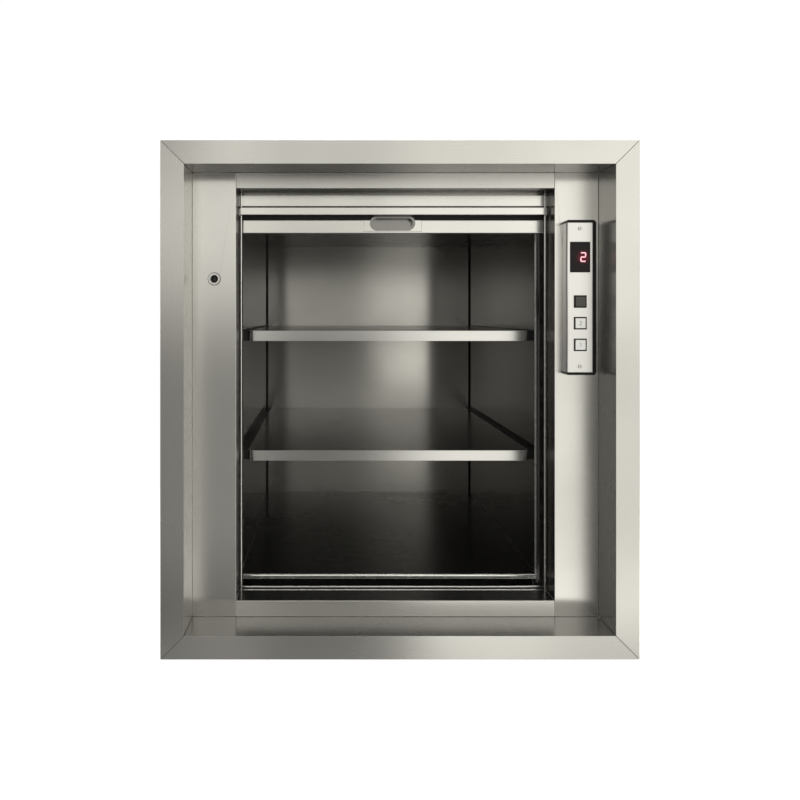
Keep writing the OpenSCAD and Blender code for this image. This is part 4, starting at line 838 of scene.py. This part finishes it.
welds = bmesh.new()
for side in sides:
    x, depth = side * (frame_half - post_leg), post_front + post_t
    for foot in casing_tie_feet:
        add_weld(welds, (x, depth, foot + 2), (x, depth, foot + casing_tie_h - 2), 2.6)
    for depth in (post_front + post_t, frame_back - post_t):
        add_weld(welds, (side * (frame_half - 48), depth, foot_top),
                 (side * (frame_half - 6), depth, foot_top), 2.8)
    depth = sheave_depth + side * pedestal_half
    add_weld(welds, (-108, depth, bed_top), (-72, depth, bed_top), 3)
for x in beam_edges:
    for cross in (bed_front, frame_back - post_t - cross_w):
        add_weld(welds, (x, cross + 1.5, cross_top), (x, cross + cross_w - 1.5, cross_top), 2.6)
piece("frame_welds", welds, frame_coat, "tower", 60)

# ---------------- machine

case_end = 146
worm_x, worm_z = 104, sheave_z + 70
worm_cover = sheave_depth + 82
motor_flange = sheave_depth - 74
case_front = sheave_depth - 60
drain_plug, sight_glass = at(128, case_front, bed_top + 24), at(86, case_front, bed_top + 32)
breather_depth = sheave_depth - 10
case_foot_bolts, case_foot_top = (165, 200), bed_top + 12.1
cover_t = 5
cover_circle, worm_circle, motor_circle, bearing_circle = 52, 28, 48.3, 24
bearing_x, bearing_face, bearing_cap = -90, -110, sheave_z + 38

fittings = bmesh.new()
for x in case_foot_bolts:
    for shift in (-52, 52):
        add_bolt(fittings, at(x, sheave_depth + shift, case_foot_top), up, 10)
for shift in (-28, 28):
    add_bolt(fittings, at(bearing_x, sheave_depth + shift, bearing_cap), up, 10)
for c, s in around(6, 0.3):
    y, z = cover_circle * c, cover_circle * s
    add_bolt(fittings, at(case_end + cover_t, sheave_depth + y, sheave_z + z), right, 6)
    x, z = worm_circle * c, worm_circle * s
    add_bolt(fittings, at(worm_x + x, worm_cover + cover_t, worm_z + z), back, 5)
for c, s in around(4, math.pi / 4):
    x, z = motor_circle * c, motor_circle * s
    add_bolt(fittings, at(worm_x + x, motor_flange, worm_z + z), back, 5.6)
    y, z = bearing_circle * c, bearing_circle * s
    add_button_head(fittings, at(bearing_face - 6, sheave_depth + y, sheave_z + z), -right, 3.6, 2.4)
add_nut(fittings, at(worm_x, breather_depth, worm_z + 41), up, 10, 9, 1.2)
add_lathe(fittings, at(worm_x, breather_depth, worm_z + 50), up, [(0, 6), (3, 7.5), (9, 7.5), (11, 5)], 20)
add_nut(fittings, drain_plug, -back, 8, 7, 1)
piece("machine_fittings", fittings, bolt_steel, "tower", 35)

covers = bmesh.new()
add_lathe(covers, at(case_end, sheave_depth, sheave_z), right,
          [(0, 62), (4, 62), (5, 60), (5, 38), (9, 34), (10, 28)], 48)
add_lathe(covers, at(worm_x, worm_cover, worm_z), back, [(0, 36), (4, 36), (5, 34.5), (5, 20), (8, 17)], 40)
add_lathe(covers, at(bearing_face, sheave_depth, sheave_z), -right,
          [(0, 33), (4.5, 33), (6, 31), (6, 17), (8, 14)], 40)
piece("machine_covers", covers, machine_enamel, "tower", 35)

motor_low, motor_high, _ = size_of("motor")
motor_end = (motor_low.y - wall_y) / mm
motor_top = motor_high.z / mm
motor_rear = (motor_high.y - wall_y) / mm
fan = at(worm_x, motor_end, worm_z)
lid_half, lid_t = 25, 3
hub_r, spoke_end, spoke_half, spoke_t = 14, 51, 1.6, 2.2
cowl = bmesh.new()
for outer_r in (48, 40, 32, 24):
    wire = [(outer_r, 0.0), (outer_r, 1.6), (outer_r - 2.4, 1.6), (outer_r - 2.4, 0.0)]
    skin(cowl, [[fan + Vector((r * mm * c, -h * mm, r * mm * s)) for r, h in wire] for c, s in around(48)],
         closed=True)
add_lathe(cowl, fan, -back, [(0, 15), (2.4, 15), (3.4, 13.5)], 32)
for c, s in around(6):
    direction, across = Vector((c, 0, s)), Vector((-s, 0, c)) * spoke_half * mm
    start, end = fan + direction * hub_r * mm, fan + direction * spoke_end * mm
    spoke = [start - across, start + across, end + across, end - across]
    skin(cowl, [[p - back * h * mm for p in spoke] for h in (0, spoke_t)])
add_box(cowl, at(worm_x - lid_half, motor_rear - 119, motor_top),
        at(worm_x + lid_half, motor_rear - 36.5, motor_top + lid_t), 1.2)
piece("motor_cowl", cowl, motor_enamel, "tower", 35)

small = bmesh.new()
for x in (-20, 20):
    for shift in (-113, -42):
        add_button_head(small, at(worm_x + x, motor_rear + shift, motor_top + lid_t), up, 3.4, 2)
for c, s in around(4, math.pi / 4):
    direction = Vector((c, 0, s))
    add_button_head(small, at(worm_x, motor_end + 56, worm_z) + direction * 59.8 * mm, direction, 3.6, 2.2)
add_lathe(small, sight_glass, -back, [(0, 12), (4, 12), (5, 11), (5, 8.2), (3.4, 8.0)], 28)
piece("machine_screws", small, bolt_steel, "tower", 35)

gland_seat, gland_nut = at(worm_x + 28, motor_rear - 78, motor_top - 13), 6
gland = bmesh.new()
add_nut(gland, gland_seat, right, 11, gland_nut, 0.8)
add_lathe(gland, gland_seat + right * gland_nut * mm, right,
          [(0, 8), (2, 9.4), (8, 9.4), (11, 7.6), (12, 4.4)], 24)
piece("cable_gland", gland, black_moulded, "tower", 35)

# ---------------- car and counterweight fittings

socket_drop = 40 * mm


def socket_nuts(bm, node, y):
    """The nuts that hold the hoist ropes' sockets under the top of a sling or frame."""
    for x in hoist_sides:
        add_nut(bm, (x, y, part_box(node)[1].z - socket_drop), up, 8, 8, 0.8)


side_low, side_high, _ = size_of("car_side_right")
rivet_count = 6
rivet_inset = 30 * mm
back_rivets_x = 0.26
car_bits = bmesh.new()
socket_nuts(car_bits, "car_sling", car_rope_mid.y)
for z in (floor_low.z + 51 * mm, ceiling_high.z - 9 * mm):
    for i in range(rivet_count):
        share = i / (rivet_count - 1)
        y = side_low.y + rivet_inset + (side_high.y - side_low.y - 2 * rivet_inset) * share
        x = back_rivets_x * (2 * share - 1)
        for side in sides:
            add_button_head(car_bits, Vector((side * side_high.x, y, z)), side * right, 3.2, 1.3)
        add_button_head(car_bits, Vector((x, car_back[1].y, z)), back, 3.2, 1.3)
piece("car_fasteners", car_bits, bolt_steel, "car", 35)

returns = bmesh.new()
for side in sides:
    x = sorted((side * (floor_high.x + 0.1 * mm), side * (floor_high.x + 17 * mm)))
    add_box(returns, (x[0], floor_low.y + 20 * mm, floor_low.z + 1 * mm),
            (x[1], floor_low.y + 21.5 * mm, side_low.z - 0.4 * mm), 0.5)
piece("apron_returns", returns, car_floor_brushed, "car", 35)

plates_low, plates_high, plates_mid = size_of("counterweight_plates")
keeper_top = plates_high.z + 8 * mm
weight_bits = bmesh.new()
socket_nuts(weight_bits, "counterweight_frame", weight_rope_mid.y)
add_box(weight_bits, (plates_low.x + 2 * mm, plates_mid.y - 12 * mm, plates_high.z),
        (plates_high.x - 2 * mm, plates_mid.y + 12 * mm, keeper_top), 1)
for side in sides:
    add_bolt(weight_bits, Vector((side * 0.15, plates_mid.y, keeper_top)), up, 10, 8)
piece("counterweight_fasteners", weight_bits, bolt_steel, "counterweight", 35)

for name, body, foot_z, rope_x in (("upper_rope_ends", "upper_door", upper_rope_low.z, upper_x),
                                   ("lower_rope_ends", "lower_door", lower_rope_low.z, lower_x)):
    ends = bmesh.new()
    for side in sides:
        foot = Vector((side * rope_x, upper_rope_mid.y, foot_z))
        add_lathe(ends, foot, up, [(0, 3.2), (14, 3.2), (17, 2.2)], 16)
        add_nut(ends, foot - up * 30 * mm, -up, 4.6, 4, 0.5)
    piece(name, ends, bolt_steel, body, 35)

# ---------------- stage, light and camera


def stage_box(name, low, high, material, edge=None):
    """A slab of the stage; edge is the material of every face but its front."""
    bm = bmesh.new()
    add_box(bm, low, high)
    bm.normal_update()
    for face in bm.faces:
        face.material_index = 1 if edge and face.normal.y > -0.5 else 0
    obj = mesh_object(name, bm, material)
    if edge:
        obj.data.materials.append(edge)


def stage_material(name, colour, camera_glow, bounce):
    """A pale stage surface that shows brighter to the camera, as an overexposed backdrop does."""
    s = Surface(name)
    seen = s.node("ShaderNodeLightPath").outputs["Is Camera Ray"]
    s.set(Roughness=0.9, Specular_IOR_Level=0.1, Emission_Color=(1.0, 1.0, 1.0))
    return s.wire(Base_Color=s.blend(seen, shade(colour, bounce), colour),
                  Emission_Strength=s.times(seen, camera_glow))


floor_white = stage_material("stage_floor", (0.80, 0.80, 0.79), 0.55, 0.42)
wall_white = stage_material("stage_wall", (0.85, 0.85, 0.85), 1.0, 0.6)
wall_edge = stage_material("stage_wall_edge", (0.62, 0.62, 0.61), 0.0, 0.6)
wall_front = wall_y + 10.5 * mm
wall_back = wall_front + 12 * mm
wall_top = 2.30
wall_foot = 0.78
wall_overlap = 0.02
floor_half = 4.5
floor_t = 0.02
stage_box("stage_wall_above", (casing_low.x, wall_front, casing_high.z - wall_overlap),
          (casing_high.x, wall_back, wall_top), wall_white, wall_edge)
stage_box("stage_wall_below", (casing_low.x, wall_front, wall_foot),
          (casing_high.x, wall_back, casing_low.z + wall_overlap), wall_white, wall_edge)
stage_box("stage_floor", (-floor_half, -floor_half, -floor_t), (floor_half, floor_half, 0.0), floor_white)


def light_wall(distance, half, top):
    """The studio's light wall, in front of the landing and behind the camera: bright at the right
    and above, dim at the lower left."""
    s = Surface("stage_light_wall")
    x, z = s.part(s.place, "X"), s.part(s.place, "Z")
    low = s.ramp(x, [(-1.5, 0.20), (-0.80, 0.20), (-0.70, 0.36), (-0.48, 0.36), (-0.38, 0.15),
                     (0.12, 0.15), (0.22, 0.28), (0.32, 0.84), (0.50, 1.10), (1.5, 1.00)])
    middle = s.ramp(x, [(-1.5, 0.40), (-0.95, 0.62), (-0.80, 1.00), (-0.50, 1.02), (-0.30, 1.02),
                        (0.0, 1.08), (0.5, 1.12), (1.2, 1.22)])
    high = s.ramp(x, [(-1.5, 0.35), (-0.95, 0.45), (-0.70, 0.85), (-0.60, 1.05), (-0.45, 0.98),
                      (-0.3, 0.80), (0.0, 0.78), (0.5, 1.00), (1.2, 1.20)])
    crest = s.span(z, 0.0, 1.0, 2.22, 2.36, True)
    upper = s.mix(crest, middle, high)
    # Near the floor the left side fades and the right side grows brighter.
    left_foot = s.span(z, 0.55, 1.0, 0.3, 0.6, True)
    sweep = s.ramp(x, [(-1.5, 1.0), (0.05, 1.0), (0.3, 1.65), (0.82, 1.65), (1.0, 1.22), (1.5, 1.22)])
    right_foot = s.mix(s.span(z, 1.0, 0.0, 0.3, 0.6, True), 1.0, sweep)
    side = s.span(x, 0.0, 1.0, -0.1, 0.3, True)
    foot = s.mix(side, left_foot, right_foot)
    skirt = s.span(z, 1.0, 0.0, 0.12, 0.2, True)
    gain = s.add(1.0, s.times(skirt, s.span(side, 0.6, -0.2, 0.0, 1.0)))
    lower = s.times(s.times(low, foot), gain)
    # The step up from the lower to the upper half lies higher where the lower half is dim.
    dip = s.times(s.maths("SUBTRACT", 0.3, s.maths("MINIMUM", low, 0.3)), 1.6)
    rise = s.span(s.maths("SUBTRACT", z, dip), 0.0, 1.0, 1.3, 1.95, True)
    glow = s.node("ShaderNodeEmission")
    glow.inputs["Color"].default_value = (1.01, 0.992, 0.92, 1.0)
    s.link(s.mix(rise, lower, upper), glow.inputs["Strength"])
    s.link(glow.outputs["Emission"], s.tree.nodes["Material Output"].inputs["Surface"])
    bm = bmesh.new()
    y = wall_y - distance
    bm.faces.new([bm.verts.new(c) for c in ((-half, y, 0.0), (half, y, 0.0), (half, y, top), (-half, y, top))])
    card = mesh_object("stage_light_wall", bm, s.material)
    card.visible_camera = False
    card.visible_shadow = False


light_wall(1.9, 2.6, 3.4)


def link_object(name, data, place):
    obj = bpy.data.objects.new(name, data)
    bpy.context.scene.collection.objects.link(obj)
    obj.location = place
    return obj


def soft_lamp(name, place, aim, width, height, power):
    lamp = bpy.data.lights.new(name, "AREA")
    lamp.shape = "RECTANGLE"
    lamp.size, lamp.size_y = width, height
    lamp.energy = power
    lamp.color = (1.0, 0.985, 0.96)
    towards = Vector(aim) - Vector(place)
    link_object(name, lamp, place).rotation_euler = towards.to_track_quat("-Z", "Y").to_euler()


soft_lamp("lamp_overhead", (0.6, 0.4, 4.6), (0, 0, 1.2), 3.0, 3.0, 90)
soft_lamp("lamp_back_left", (-3.2, 2.6, 2.6), (0, 0, 1.3), 2.0, 2.4, 60)
soft_lamp("lamp_back_right", (3.4, 1.6, 2.2), (0, 0, 1.3), 2.0, 2.4, 50)

# The camera sees white paper; the object gets soft light that grows towards its back.
world = bpy.data.worlds.new("studio")
world.use_nodes = True
world.node_tree.nodes.clear()
bpy.context.scene.world = world
sky = Nodes(world.node_tree)
towards_back = sky.part(sky.node("ShaderNodeTexCoord").outputs["Generated"], "Y")
studio = sky.node("ShaderNodeBackground")
studio.inputs["Color"].default_value = (1.0, 0.99, 0.97, 1)
sky.link(sky.span(towards_back, 0.26, 0.75, -0.35, 0.25, True), studio.inputs["Strength"])
paper = sky.node("ShaderNodeBackground")
paper.inputs["Color"].default_value = (1, 1, 1, 1)
paper.inputs["Strength"].default_value = 1.02
seen = sky.node("ShaderNodeLightPath").outputs["Is Camera Ray"]
pick = sky.node("ShaderNodeMixShader")
for source, socket in zip((seen, studio.outputs["Background"], paper.outputs["Background"]), pick.inputs):
    sky.link(source, socket)
sky.link(pick.outputs["Shader"], sky.node("ShaderNodeOutputWorld").inputs["Surface"])

camera_data = bpy.data.cameras.new("camera")
camera_data.lens = 28.2
camera_data.sensor_width = 36
camera_data.shift_x = 0.095
camera_data.shift_y = -0.1075
camera = link_object("camera", camera_data, (-0.1344, wall_y - 1.109, 1.690))
camera.rotation_euler = (math.radians(90), 0, 0)
bpy.context.scene.camera = camera
bpy.context.scene.view_settings.view_transform = "Standard"
